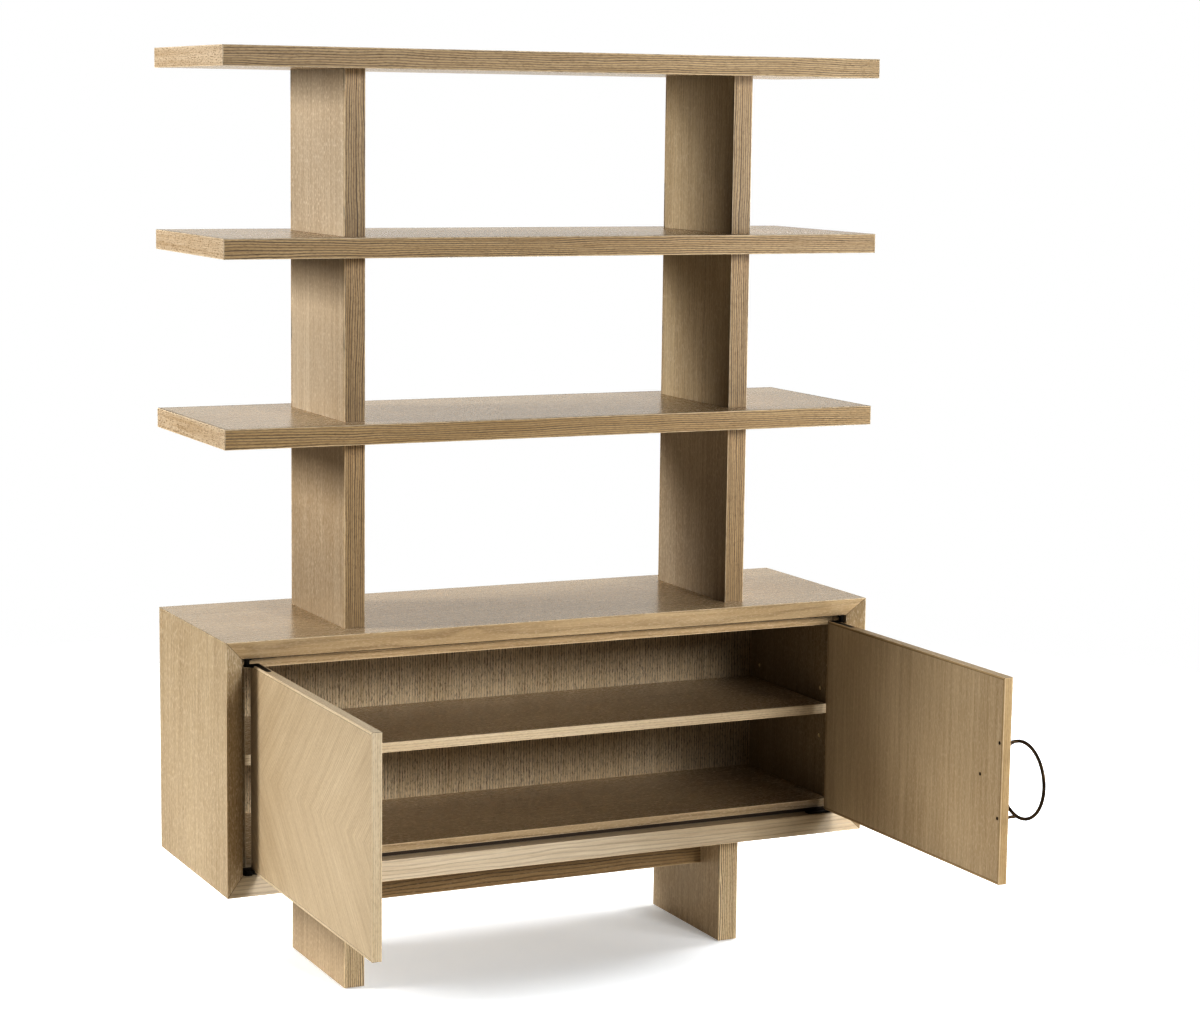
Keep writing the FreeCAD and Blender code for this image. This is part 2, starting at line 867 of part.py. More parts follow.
def on_side(shape, sign):
    """Keep a shape made for the right side, or mirror it to the left."""
    return shape.copy() if sign > 0 else shape.mirror(Vector(0, 0, 0), RIGHT)


def opened(shape, sign):
    """Turn a closed door's piece about its pivot to the angle that the doors rest at."""
    turned_shape = shape.copy()
    pivot = Vector(sign * pivot_x, pivot_y, 0)
    turned_shape.rotate(pivot, UP, sign * door_rest_angle)
    return turned_shape


def build_case_hinges():
    """Case leaves, pins, spacers and case screws of the four pivot hinges."""
    nodes = {"hinge_pins": [], "hinge_spacers": [], "case_hinge_screws": all_case_hinge_screws()}
    for side, sign in upright_sides:
        for name, level in hinge_levels().items():
            screws = case_hinge_screws(level)
            bottom = level["case_leaf"]
            leaf = case_leaf_blank(bottom).cut(
                screws + [pin_bore(hinge_pin_radius, bottom, bottom + case_leaf_thickness)]
            )
            nodes[side + "_" + name + "_case_leaf"] = [on_side(leaf, sign)]
            low, high = level["pin"]
            pin = turned(
                [(0, 0), (hinge_pin_radius, 0), (hinge_pin_radius, high - low), (0, high - low)],
                Vector(pivot_x, pivot_y, low),
                UP,
            )
            nodes["hinge_pins"].append(on_side(pin, sign))
            low, high = level["spacer"]
            spacer = turned(
                [
                    (hinge_pin_radius, 0),
                    (hinge_spacer_radius, 0),
                    (hinge_spacer_radius, high - low),
                    (hinge_pin_radius, high - low),
                ],
                Vector(pivot_x, pivot_y, low),
                UP,
            )
            nodes["hinge_spacers"].append(on_side(spacer, sign))
    return nodes


def handle_post_places():
    """Points on the closed right door's outer face where the ring's posts stand."""
    places = []
    for turn in (-ring_post_angle, 0, ring_post_angle):
        x = door_free_x + ring_radius * math.cos(math.radians(turn))
        z = ring_z + ring_radius * math.sin(math.radians(turn))
        places.append(Vector(x, door_outer_y, z))
    return places


def build_handle():
    """Ring pull on three turned posts, with the screws that come through the door."""
    ring_centre = Vector(door_free_x, ring_y, ring_z)
    ring = Part.makeTorus(ring_radius, ring_rod_radius, ring_centre, BACK)
    posts = []
    screws = []
    for place in handle_post_places():
        profile = [
            (0, 0),
            (post_flange_radius, 0),
            (post_flange_radius, post_flange_height),
            (post_neck_radius, post_flange_height + post_taper_height),
            (post_neck_radius, ring_standoff),
            (0, ring_standoff),
        ]
        head_y = door_inner_y - handle_recess_depth
        grip = head_y - door_outer_y + handle_screw_grip
        head = Vector(place.x, head_y, place.z)
        screw_profile = [
            (0, -handle_screw_head_height),
            (handle_screw_head_radius, -handle_screw_head_height),
            (handle_screw_head_radius, 0),
            (handle_screw_radius, 0),
            (handle_screw_radius, grip),
            (0, grip),
        ]
        screw = turned(screw_profile, head, FRONT)
        post = turned(profile, place, FRONT).cut([ring, screw])
        posts.append(max(post.Solids, key=lambda solid: solid.Volume))
        screws.append(screw)
    return ring, posts, screws


def handle_cutters():
    """Screw holes and head recesses in the right door."""
    cutters = []
    for place in handle_post_places():
        start = Vector(place.x, door_outer_y - overrun, place.z)
        cutters.append(drill(handle_screw_radius, door_thickness + 2 * overrun, start, BACK))
        recess = Vector(place.x, door_inner_y - handle_recess_depth, place.z)
        cutters.append(drill(handle_recess_radius, handle_recess_depth + overrun, recess, BACK))
    return cutters


def closed_door_board():
    """Right door's board and its mitred edging, closed."""
    core, strips = edged_board(door_width, door_height, door_thickness, door_edging)
    placed = []
    for shape in [core] + strips:
        shape.rotate(Vector(0, 0, 0), RIGHT, 90)
        middle_x = (door_free_x + door_hinge_x) / 2
        shape.translate(Vector(middle_x, door_inner_y, ring_z))
        placed.append(shape)
    return placed[0], placed[1:]


def build_doors():
    """Both doors at the angle that they rest at, with their leaves, screws and the handle."""
    nodes = {}
    ring, posts, handle_screws = build_handle()
    for side, sign in upright_sides:
        core, strips = closed_door_board()
        screws = []
        leaves = {}
        for name, level in hinge_levels().items():
            bottom = level["door_leaf"]
            blank = door_leaf_blank(bottom)
            leaf_screws = door_hinge_screws(level)
            core = core.cut([blank] + leaf_screws)
            strips = [strip.cut([blank] + leaf_screws) for strip in strips]
            bore = pin_bore(hinge_pin_radius + hinge_pin_play, bottom, bottom + door_leaf_thickness)
            leaves[side + "_door_" + name + "_leaf"] = blank.cut(leaf_screws + [bore])
            screws.extend(leaf_screws)
        if side == "right":
            core = core.cut(handle_cutters())
            strips = [strip.cut(handle_cutters()) for strip in strips]
        nodes[side + "_door_panel"] = [core]
        nodes[side + "_door_edging"] = strips
        nodes[side + "_door_hinge_screws"] = screws
        for name, leaf in leaves.items():
            nodes[name] = [leaf]
        for name in list(nodes):
            if name.startswith(side):
                nodes[name] = [opened(on_side(shape, sign), sign) for shape in nodes[name]]
    nodes["ring_handle"] = [opened(ring, 1)]
    nodes["handle_posts"] = [opened(post, 1) for post in posts]
    nodes["handle_screws"] = [opened(screw, 1) for screw in handle_screws]
    return nodes


def solids_of(shapes):
    """Every solid in a list of shapes."""
    return [solid for shape in shapes for solid in shape.Solids]


def main():
    """Build every node and write one STEP file for each."""
    os.makedirs("parts", exist_ok=True)
    cutters = stack_holes()
    nodes = {}
    nodes.update(build_shelves(cutters))
    nodes.update(build_uprights(cutters))
    nodes.update(build_case(cutters))
    nodes.update(build_base())
    nodes.update(build_liner())
    nodes.update(build_cupboard_shelf())
    nodes.update(build_case_hinges())
    nodes.update(build_doors())
    nodes["stack_dowels"] = stack_dowels()
    nodes["tie_rods"] = tie_rods()
    nodes["tie_rod_nuts"] = tie_nuts()
    for name, shapes in sorted(nodes.items()):
        solids = solids_of(shapes)
        shape = solids[0] if len(solids) == 1 else Part.makeCompound(solids)
        shape.exportStep(os.path.join("parts", name + ".step"))
        print(name, len(solids), "solids", round(shape.Volume), "mm3", shape.isValid())


main()
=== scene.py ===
"""Finishes, fittings and studio for an oak shelving unit with a two-door cupboard."""

import json
import logging
import math
from dataclasses import dataclass, fields, replace
from enum import Enum
from typing import Any, ClassVar, Mapping, Optional, Sequence, Union

import bpy
import numpy as np
from mathutils import Matrix, Vector

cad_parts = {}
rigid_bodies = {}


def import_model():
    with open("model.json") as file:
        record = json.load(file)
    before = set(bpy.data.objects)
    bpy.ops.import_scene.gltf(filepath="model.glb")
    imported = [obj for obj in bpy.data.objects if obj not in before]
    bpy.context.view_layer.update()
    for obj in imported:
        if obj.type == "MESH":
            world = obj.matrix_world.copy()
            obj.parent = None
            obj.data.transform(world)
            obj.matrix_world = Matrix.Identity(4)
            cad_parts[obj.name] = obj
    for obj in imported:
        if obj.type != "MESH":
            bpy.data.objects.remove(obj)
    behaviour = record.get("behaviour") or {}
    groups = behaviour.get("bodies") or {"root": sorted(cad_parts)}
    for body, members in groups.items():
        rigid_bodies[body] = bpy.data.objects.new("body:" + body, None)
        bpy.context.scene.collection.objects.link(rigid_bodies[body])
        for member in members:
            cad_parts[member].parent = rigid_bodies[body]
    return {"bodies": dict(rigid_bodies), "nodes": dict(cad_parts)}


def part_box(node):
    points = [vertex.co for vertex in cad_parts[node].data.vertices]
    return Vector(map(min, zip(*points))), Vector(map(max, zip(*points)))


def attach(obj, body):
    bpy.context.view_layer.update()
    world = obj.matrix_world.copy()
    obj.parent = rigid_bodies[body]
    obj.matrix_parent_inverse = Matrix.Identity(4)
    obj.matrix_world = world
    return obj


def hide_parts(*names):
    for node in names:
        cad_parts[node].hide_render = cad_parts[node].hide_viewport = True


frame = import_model()
LOG = logging.getLogger("shelving_unit")
MM = 0.001
IN_MM = (1 / MM,) * 3
NOISE_MEAN = 0.5
EASED, STRAIGHT = "SMOOTHSTEP", "LINEAR"
# A piece's name gives its shift in the grain, so that like pieces are cut from different places.
NAME_START, NAME_LIMIT = 3, 997
SHIFT_WAYS = (3.7, 1.3, 0.7)
# Corners that agree to this many digits of a metre are one.
WELD_DIGITS = 5
# Keeps lengths as they are on axes turned by 45 degrees.
HALF_RIGHT_ANGLE = 0.7071

Node = bpy.types.Node
Pair = tuple[float, float]
Triple = tuple[float, float, float]
Source = Union[float, Sequence[float], Node, bpy.types.NodeSocket]


def linear(code: str) -> tuple[float, float, float, float]:
    """Turn an sRGB hex colour into linear light.

    Args:
        code: Colour such as "#C8B090".

    Returns:
        Linear red, green, blue and an alpha of one.
    """
    shares = [int(code[start:start + 2], 16) / 255 for start in (1, 3, 5)]
    light = [s / 12.92 if s <= 0.04045 else ((s + 0.055) / 1.055) ** 2.4 for s in shares]
    return light[0], light[1], light[2], 1.0


@dataclass(frozen=True)
class Wiring:
    """Adds nodes to one tree. A node given as an input is linked by its first live output."""

    tree: bpy.types.NodeTree

    def add(
        self,
        kind: str,
        settings: Optional[Mapping[str, Any]] = None,
        inputs: Optional[Mapping[Any, Source]] = None,
    ) -> Node:
        """Add one node with its settings and links.

        Args:
            kind: The node's type.
            settings: Its properties by name.
            inputs: Its inputs by name or number.

        Returns:
            The new node.
        """
        node = self.tree.nodes.new(kind)
        for name, value in (settings or {}).items():
            setattr(node, name, value)
        for key, value in (inputs or {}).items():
            if isinstance(key, str):
                socket = next(s for s in node.inputs if s.name == key and s.enabled)
            else:
                socket = node.inputs[key]
            if isinstance(value, Node):
                value = next(s for s in value.outputs if s.enabled)
            if isinstance(value, bpy.types.NodeSocket):
                self.tree.links.new(value, socket)
            else:
                socket.default_value = value
        return node

    def given(self) -> dict[str, bpy.types.NodeSocket]:
        """Name the tree's own inputs."""
        return {socket.name: socket for socket in self.add("NodeGroupInput").outputs}

    def maths(self, operation: str, *values: Source, clamp: bool = False) -> Node:
        """Reckon with numbers."""
        settings = {"operation": operation, "use_clamp": clamp}
        return self.add("ShaderNodeMath", settings, dict(enumerate(values)))

    def vector(self, operation: str, *values: Source) -> Node:
        """Reckon with vectors."""
        settings = {"operation": operation}
        return self.add("ShaderNodeVectorMath", settings, dict(enumerate(values)))

    def join(self, *parts: Source) -> Node:
        """Make a vector from its three parts."""
        return self.add("ShaderNodeCombineXYZ", {}, dict(enumerate(parts)))

    def split(self, vector: Source) -> Sequence[bpy.types.NodeSocket]:
        """Take a vector's three parts."""
        return self.add("ShaderNodeSeparateXYZ", {}, {"Vector": vector}).outputs

    def remap(
        self, value: Source, span: Pair, low: float = 0.0, high: float = 1.0, kind: str = EASED
    ) -> Node:
        """Take a span of a value to the range from low to high."""
        inputs = {"Value": value, "From Min": span[0], "From Max": span[1]}
        inputs.update({"To Min": low, "To Max": high})
        return self.add("ShaderNodeMapRange", {"interpolation_type": kind}, inputs)

    def mix(self, share: Source, first: Source, second: Source, kind: str = "RGBA") -> Node:
        """Blend two colours, numbers or vectors."""
        inputs = {"Factor": share, "A": first, "B": second}
        return self.add("ShaderNodeMix", {"data_type": kind}, inputs)

    def noise(
        self, place: Source, scale: float, detail: float, roughness: float = 0.5
    ) -> Node:
        """Draw noise at a place."""
        inputs = {"Vector": place, "Scale": scale, "Detail": detail, "Roughness": roughness}
        return self.add("ShaderNodeTexNoise", {}, inputs)

    def place_in_mm(self) -> Node:
        """Find the place on the object, in millimetres."""
        metres = self.add("ShaderNodeTexCoord").outputs["Object"]
        return self.vector("MULTIPLY", metres, IN_MM)

    def surface(self, height: Source, depth: float, inputs: Mapping[str, Source]) -> None:
        """Close a material with a shader over a fine relief.

        Args:
            height: Height of the relief as a share of its depth.
            depth: Depth of the relief in millimetres.
            inputs: The shader's other inputs.
        """
        relief = {"Strength": 1.0, "Distance": depth * MM, "Height": height}
        bump = self.add("ShaderNodeBump", {}, relief)
        shader = self.add("ShaderNodeBsdfPrincipled", {}, {**inputs, "Normal": bump})
        self.add("ShaderNodeOutputMaterial", {}, {"Surface": shader})


def open_material(name: str) -> tuple[bpy.types.Material, Wiring]:
    """Start a material with an empty tree.

    Args:
        name: The material's name.

    Returns:
        The material and the wiring of its tree.
    """
    material = bpy.data.materials.new(name)
    material.use_nodes = True
    material.node_tree.nodes.clear()
    return material, Wiring(material.node_tree)


def open_group(
    name: str, kind: str, inputs: Sequence[tuple[str, str]], outputs: Sequence[tuple[str, str]]
) -> bpy.types.NodeTree:
    """Start a node group with named sockets.

    Args:
        name: The group's name.
        kind: Type of tree.
        inputs: (name, socket type) of each input.
        outputs: (name, socket type) of each output.

    Returns:
        The empty group.
    """
    tree = bpy.data.node_groups.new(name, kind)
    for way, sockets in (("INPUT", inputs), ("OUTPUT", outputs)):
        for label, socket_type in sockets:
            tree.interface.new_socket(name=label, in_out=way, socket_type=socket_type)
    return tree


class Grain(Enum):
    """Which way the grain of a piece runs."""

    LENGTH = "along the unit"
    UPRIGHT = "up and down"
    RIM_FLAT = "round a lying board, mitred at its corners"
    RIM_DOOR = "round a door, mitred at its corners"
    DIAMOND = "slanting outside and meeting at mid height, upright inside"


@dataclass(frozen=True)
class Swing:
    """Where a door turns, so that its pattern is laid on the closed door."""

    pivot: Triple
    angle: float
    side: int


@dataclass(frozen=True)
class Lay:
    """How a finish lies on one piece, in millimetres."""

    grain: Grain
    centre: Triple
    half: Triple
    shift: float = 0.0
    mirrored: bool = False
    # How pale the arrises are: partly wear, partly a painted highlight.
    worn: float = 0.0
    seam_axes: str = ""
    mitre_axes: str = ""
    swing: Optional[Swing] = None


def lay_of(node: str, grain: Grain, **more: Any) -> Lay:
    """Lay a finish on a piece by its own box.

    Args:
        node: Name of the piece.
        grain: Way of its grain.
        more: Other fields of Lay.

    Returns:
        The lay, centred on the piece unless told otherwise.
    """
    low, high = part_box(node)
    more.setdefault("centre", tuple((low + high) / (2 * MM)))
    more.setdefault("half", tuple((high - low) / (2 * MM)))
    total = sum(ord(letter) * count for count, letter in enumerate(node, NAME_START))
    more.setdefault("shift", total % NAME_LIMIT)
    return Lay(grain=grain, **more)


def stack_strips(shift: float) -> Lay:
    """Lay a finish on the strips of both stacks' edges, each the mirror image of the next."""
    centre, half = (455.5, 164.0, 0.0), (23.0, 3.0, 4000.0)
    return Lay(Grain.UPRIGHT, centre, half, shift=shift, mirrored=True, worn=0.8)


@dataclass(frozen=True)
class Feature:
    """Noise drawn out along the grain: its lengths along and across, in millimetres."""

    lengths: Triple
    detail: float
    roughness: float = 0.5

    def field(self, wire: Wiring, place: Source) -> Node:
        """Draw the noise at a place in grain space."""
        scaled = wire.vector("DIVIDE", place, self.lengths)
        return wire.noise(scaled, 1.0, self.detail, self.roughness)


@dataclass(frozen=True)
class SawnGrain:
    """What is drawn on sawn timber, and how much each part of it counts."""

    slow_bend: Feature = Feature((700.0, 75.0, 75.0), 1.0)
    quick_bend: Feature = Feature((140.0, 42.0, 42.0), 1.0)
    quick_share: float = 0.3
    ring_onset: Pair = (0.0, 0.10)
    ring_fade: Pair = (0.16, 0.5)
    faintest_ring: float = 0.5
    breaks: Feature = Feature((150.0, 5.0, 5.0), 2.0)
    break_span: Pair = (0.36, 0.6)
    broken_line: float = 0.8
    pore: Feature = Feature((9.0, 2.3, 2.3), 1.0, 0.6)
    pore_span: Pair = (0.52, 0.64)
    pores_at_ring: float = 0.6
    pores_between: float = 0.6
    cloud: Feature = Feature((900.0, 260.0, 260.0), 2.0)
    cloud_share: float = 0.9
    streak: Feature = Feature((420.0, 10.0, 10.0), 3.0, 0.55)
    streak_share: float = 1.0
    tone_base: float = 0.95
    fleck: Feature = Feature((12.0, 3.2, 3.2), 2.0, 0.62)
    fleck_span: Pair = (0.34, 0.66)
    fibre: Feature = Feature((75.0, 2.2, 2.2), 2.0, 0.6)
    fibre_share: float = 0.75
    # The pale arris is partly wear and partly a painted highlight.
    worn_share: float = 0.9
    worn_tint: str = "#EBDDC4"
    seam_share: float = 0.8
    seam_tint: str = "#4A3623"
    # What pores, fibres and seams add to the roughness.
    rough_shares: Triple = (0.12, 0.07, 0.2)
    # What fibres, pores, rings and seams add to the height over the base.
    base_height: float = 0.6
    height_shares: tuple[float, ...] = (0.35, -0.6, -0.2, -0.5)
    group_name: ClassVar[str] = "timber_grain"

    def group(self) -> bpy.types.NodeTree:
        """Build the group that draws the timber from a place in grain space.

        Returns:
            The group. Its place runs along the grain in X and across it in Y and Z.
        """
        scalar, colour, vector = "NodeSocketFloat", "NodeSocketColor", "NodeSocketVector"
        labels = {
            vector: ("Place", "Lie"),
            scalar: (
                "Spacing", "Wander", "Line", "Pores", "Mottle", "Tone", "Gloss", "Wear and highlight", "Seam"
            ),
            colour: ("Pale", "Honey", "Dark", "Pore tint"),
        }
        tree = open_group(
            self.group_name,
            "ShaderNodeTree",
            [(label, kind) for kind, names in labels.items() for label in names],
            [("Colour", colour), ("Roughness", scalar), ("Height", scalar)],
        )
        wire = Wiring(tree)
        given = wire.given()
        place = given["Place"]

        # Growth rings wander slowly along the board, and each begins with a dark open-pored line.
        slow = wire.maths("SUBTRACT", self.slow_bend.field(wire, place), NOISE_MEAN)
        quick = wire.maths("SUBTRACT", self.quick_bend.field(wire, place), NOISE_MEAN)
        drift = wire.maths("MULTIPLY_ADD", quick, self.quick_share, slow)
        across = wire.vector("DOT_PRODUCT", place, given["Lie"])
        bent = wire.maths("MULTIPLY_ADD", drift, given["Wander"], across.outputs["Value"])
        ring = wire.maths("DIVIDE", bent, given["Spacing"])
        phase = wire.maths("FRACT", ring)
        number = wire.maths("FLOOR", ring)
        strength = wire.add("ShaderNodeTexWhiteNoise", {"noise_dimensions": "1D"}, {"W": number})
        fade = wire.remap(phase, self.ring_fade, 1.0, 0.0)
        onset = wire.remap(phase, self.ring_onset)
        line = wire.maths("MULTIPLY", fade, onset)
        strength = strength.outputs["Value"]
        varied = wire.remap(strength, (0.0, 1.0), self.faintest_ring, kind=STRAIGHT)
        gaps = self.breaks.field(wire, place)
        broken = wire.remap(gaps, self.break_span, self.broken_line, kind=STRAIGHT)
        rings = wire.maths("MULTIPLY", line, varied)
        rings = wire.maths("MULTIPLY", rings, broken)

        # Oak pores are 0.3 mm wide and 3 to 8 mm long. Here they are three times coarser, to show.
        pore = wire.remap(self.pore.field(wire, place), self.pore_span)
        clustered = wire.maths("MULTIPLY_ADD", rings, self.pores_at_ring, self.pores_between)
        pores = wire.maths("MULTIPLY", pore, clustered, clamp=True)

        # The tone has slow clouds, streaks along the grain, short ray flecks and fine fibres.
        cloud, streak, fleck, fibre = (
            part.field(wire, place) for part in (self.cloud, self.streak, self.fleck, self.fibre)
        )
        tone = wire.maths("MULTIPLY_ADD", cloud, self.cloud_share, given["Tone"])
        tone = wire.maths("MULTIPLY_ADD", streak, self.streak_share, tone)
        tone = wire.maths("SUBTRACT", tone, self.tone_base)
        flecks = wire.maths("SUBTRACT", wire.remap(fleck, self.fleck_span), NOISE_MEAN)
        tone = wire.maths("MULTIPLY_ADD", flecks, given["Mottle"], tone)
        fibres = wire.maths("SUBTRACT", fibre, NOISE_MEAN)
        tone = wire.maths("MULTIPLY_ADD", fibres, self.fibre_share, tone, clamp=True)
        wood = wire.mix(tone, given["Pale"], given["Honey"])
        # The pale arris layer is partly wear and partly a painted highlight.
        for layer, share, tint in (
            (rings, given["Line"], given["Dark"]),
            (pores, given["Pores"], given["Pore tint"]),
            (given["Wear and highlight"], self.worn_share, linear(self.worn_tint)),
            (given["Seam"], self.seam_share, linear(self.seam_tint)),
        ):
            wood = wire.mix(wire.maths("MULTIPLY", layer, share), wood, tint)

        # The lacquer is thinner over the pores, so they are duller and lie a little lower.
        rough, height, seam = given["Gloss"], self.base_height, given["Seam"]
        for layer, share in zip((pores, fibres, seam), self.rough_shares):
            rough = wire.maths("MULTIPLY_ADD", layer, share, rough)
        for layer, share in zip((fibres, pores, rings, seam), self.height_shares):
            height = wire.maths("MULTIPLY_ADD", layer, share, height)
        wire.add("NodeGroupOutput", {}, {"Colour": wood, "Roughness": rough, "Height": height})
        return tree


@dataclass
class Spot:
    """A place on one piece as its timber is drawn there, in millimetres."""

    wire: Wiring
    lay: Lay
    # Depths over which a pale arris and a glued joint fade, and how unevenly the arris is paled.
    # The pale arris is partly wear and partly a painted highlight.
    rubbed: ClassVar[Pair] = (-0.9, 1.1)
    glued: ClassVar[Pair] = (0.25, 0.9)
    uneven: ClassVar[float] = -2.4
    uneven_scale: ClassVar[float] = 0.05
    uneven_detail: ClassVar[float] = 3.0

    def __post_init__(self) -> None:
        """Find the place, its depths under the outer faces, and whether it is on an end strip."""
        wire, lay = self.wire, self.lay
        place = wire.place_in_mm()
        if lay.swing:
            place = wire.vector("SUBTRACT", place, lay.swing.pivot)
            turn = {"Vector": place, "Angle": lay.swing.angle}
            place = wire.add("ShaderNodeVectorRotate", {"rotation_type": "Z_AXIS"}, turn)
            place = wire.vector("MULTIPLY", place, (float(lay.swing.side), 1.0, 1.0))
        if lay.mirrored:
            place = wire.vector("ABSOLUTE", place)
        self.place = wire.vector("SUBTRACT", place, lay.centre)
        self.apart = wire.split(self.place)
        away = wire.vector("ABSOLUTE", self.place)
        self.reach = wire.split(wire.vector("SUBTRACT", lay.half, away))
        self.end: Source = 0.0
        if lay.grain in (Grain.RIM_FLAT, Grain.RIM_DOOR):
            short_way = self.reach[1 if lay.grain is Grain.RIM_FLAT else 2]
            self.end = wire.maths("LESS_THAN", self.reach[0], short_way)

    def grain_place(self) -> Node:
        """Turn the place into one that runs along the grain.

        Returns:
            A node with the place in grain space.
        """
        wire, grain = self.wire, self.lay.grain
        x, y, z = self.apart
        if grain is Grain.LENGTH:
            turned = wire.join(x, y, z)
        elif grain is Grain.UPRIGHT:
            turned = wire.join(z, x, y)
        elif grain is Grain.DIAMOND:
            rise = wire.maths("ABSOLUTE", z)
            slant = wire.join(wire.maths("ADD", rise, x), wire.maths("SUBTRACT", rise, x), y)
            slant = wire.vector("MULTIPLY", slant, (HALF_RIGHT_ANGLE, HALF_RIGHT_ANGLE, 1.0))
            straight = wire.join(z, x, y)
            turned = wire.mix(wire.maths("GREATER_THAN", y, 0.0), slant, straight, "VECTOR")
        elif grain is Grain.RIM_FLAT:
            turned = wire.mix(self.end, wire.join(x, z, y), wire.join(y, z, x), "VECTOR")
        else:
            turned = wire.mix(self.end, wire.join(x, y, z), wire.join(z, y, x), "VECTOR")
        return wire.vector("ADD", turned, tuple(self.lay.shift * way for way in SHIFT_WAYS))

    def worn_share(self) -> Source:
        """Find how far the arris is paled, partly as wear and partly as a painted highlight.

        Returns:
            Zero, or a node with the share.
        """
        if self.lay.worn <= 0:
            return 0.0
        # The second smallest of the three depths is small along an arris only.
        wire, (x, y, z) = self.wire, self.reach
        small, large = wire.maths("MINIMUM", x, y), wire.maths("MAXIMUM", x, y)
        nearest = wire.maths("MAXIMUM", small, wire.maths("MINIMUM", large, z))
        unevenness = wire.noise(self.place, self.uneven_scale, self.uneven_detail)
        depth = wire.maths("MULTIPLY_ADD", unevenness, self.uneven, nearest)
        return wire.maths("MULTIPLY", wire.remap(depth, self.rubbed, 1.0, 0.0), self.lay.worn)

    def seam_share(self) -> Source:
        """Find how much of a glued joint shows.

        Returns:
            Zero, or a node with the share.
        """
        wire, lay = self.wire, self.lay
        depths = dict(zip("xyz", self.reach))
        if lay.mitre_axes:
            first, second = (depths[axis] for axis in lay.mitre_axes)
            gap = wire.maths("ABSOLUTE", wire.maths("SUBTRACT", first, second))
        elif lay.seam_axes:
            gap = depths[lay.seam_axes[0]]
            for axis in lay.seam_axes[1:]:
                gap = wire.maths("MINIMUM", gap, depths[axis])
        else:
            return 0.0
        return wire.remap(gap, self.glued, 1.0, 0.0)


@dataclass(frozen=True)
class TimberFinish:
    """A sawn timber with its growth rings, pores and lacquer. Lengths are in millimetres."""

    name: str
    pale: str
    honey: str
    dark: str
    spacing: float
    wander: float
    line: float
    pores: float
    mottle: float
    gloss: float
    lie: Triple = (0.0, 0.6, 0.8)
    pore_tint: str = "#5A4229"
    tone: float = 0.5
    relief: float = 0.06
    end_line: float = 1.0
    end_tone: float = 0.0
    end_pale: str = ""
    end_tint: str = ""
    end_pores: float = 0.0
    # A door's inner face is deeper by this much, as painted shade.
    inner_tone: ClassVar[float] = 0.18
    lacquer_index: ClassVar[float] = 1.5

    def material(self, node: str, lay: Lay) -> bpy.types.Material:
        """Make the finish for one piece.

        Args:
            node: Name of the piece.
            lay: How the finish lies on it.

        Returns:
            The material.
        """
        material, wire = open_material(f"{self.name}__{node}")
        spot = Spot(wire, lay)
        end = spot.end
        line = wire.maths("MULTIPLY_ADD", end, self.line * (self.end_line - 1), self.line)
        tone = wire.maths("MULTIPLY_ADD", end, self.end_tone, self.tone)
        # A door's inside face is darkened as painted shade.
        if lay.grain is Grain.DIAMOND:
            inside = wire.maths("GREATER_THAN", spot.apart[1], 0.0)
            tone = wire.maths("MULTIPLY_ADD", inside, self.inner_tone, tone)
        looks = {
            "Line": line, "Tone": tone,
            "Pores": wire.maths("MULTIPLY_ADD", end, self.end_pores, self.pores),
            "Pale": wire.mix(end, linear(self.pale), linear(self.end_pale or self.pale)),
            "Pore tint": wire.mix(
                end, linear(self.pore_tint), linear(self.end_tint or self.pore_tint)
            ),
            "Honey": linear(self.honey), "Dark": linear(self.dark), "Lie": self.lie,
            "Spacing": self.spacing, "Wander": self.wander, "Mottle": self.mottle,
            "Gloss": self.gloss, "Place": spot.grain_place(), "Wear and highlight": spot.worn_share(),
            "Seam": spot.seam_share(),
        }
        group = bpy.data.node_groups.get(SawnGrain.group_name) or SawnGrain().group()
        grain = wire.add("ShaderNodeGroup", {"node_tree": group}, looks).outputs
        surface = {"Base Color": grain["Colour"], "Roughness": grain["Roughness"]}
        wire.surface(grain["Height"], self.relief, {**surface, "IOR": self.lacquer_index})
        return material


@dataclass(frozen=True)
class MetalFinish:
    """A metal with its patina. Lengths are in millimetres."""

    name: str
    base: str
    patina: str
    rough: float
    metallic: float
    patina_size: float
    patina_detail: ClassVar[float] = 4.0
    patina_span: ClassVar[Pair] = (0.35, 0.68)
    patina_rough: ClassVar[float] = 0.2
    grit_scale: ClassVar[float] = 1.4
    grit_detail: ClassVar[float] = 2.0
    grit_rough: ClassVar[float] = 0.1
    grit_depth: ClassVar[float] = 0.02

    def material(self, node: str) -> bpy.types.Material:
        """Make the finish for one piece.

        Args:
            node: Name of the piece.

        Returns:
            The material.
        """
        material, wire = open_material(f"{self.name}__{node}")
        place = wire.place_in_mm()
        cloud = wire.noise(place, 1 / self.patina_size, self.patina_detail)
        share = wire.remap(cloud, self.patina_span, kind=STRAIGHT)
        colour = wire.mix(share, linear(self.base), linear(self.patina))
        grit = wire.noise(place, self.grit_scale, self.grit_detail)
        smoothest = self.rough - self.patina_rough * NOISE_MEAN
        rough = wire.maths("MULTIPLY_ADD", cloud, self.patina_rough, smoothest)
        rough = wire.maths("MULTIPLY_ADD", grit, self.grit_rough, rough)
        looks = {"Base Color": colour, "Metallic": self.metallic, "Roughness": rough}
        wire.surface(grit, self.grit_depth, looks)
        return material


# Timbers. The numbers are ring spacing, wander, line, pores, mottle, gloss and then the lie.
# Limed oak veneer, satin lacquered: quiet streaked grain under a sheen that mirrors at a low angle.
OAK_TOP = TimberFinish(
    "limed_oak_veneer", "#D0BFA2", "#A68F6E", "#64492D", 8.0, 30.0, 0.4, 0.14, 0.05, 0.22,
    (0.0, 0.75, 0.65), "#E3D6BE", relief=0.012,
)
# The board under the doors: a paler, glossier copy, its paleness painted light on the slanting
# front edge that faces up to the lamps, so that this edge stands out.
OAK_CASE_FLOOR_LIT = replace(
    OAK_TOP, name="limed_oak_pale_veneer", pale="#DED3BE", honey="#B9A689", gloss=0.34, line=0.34
)
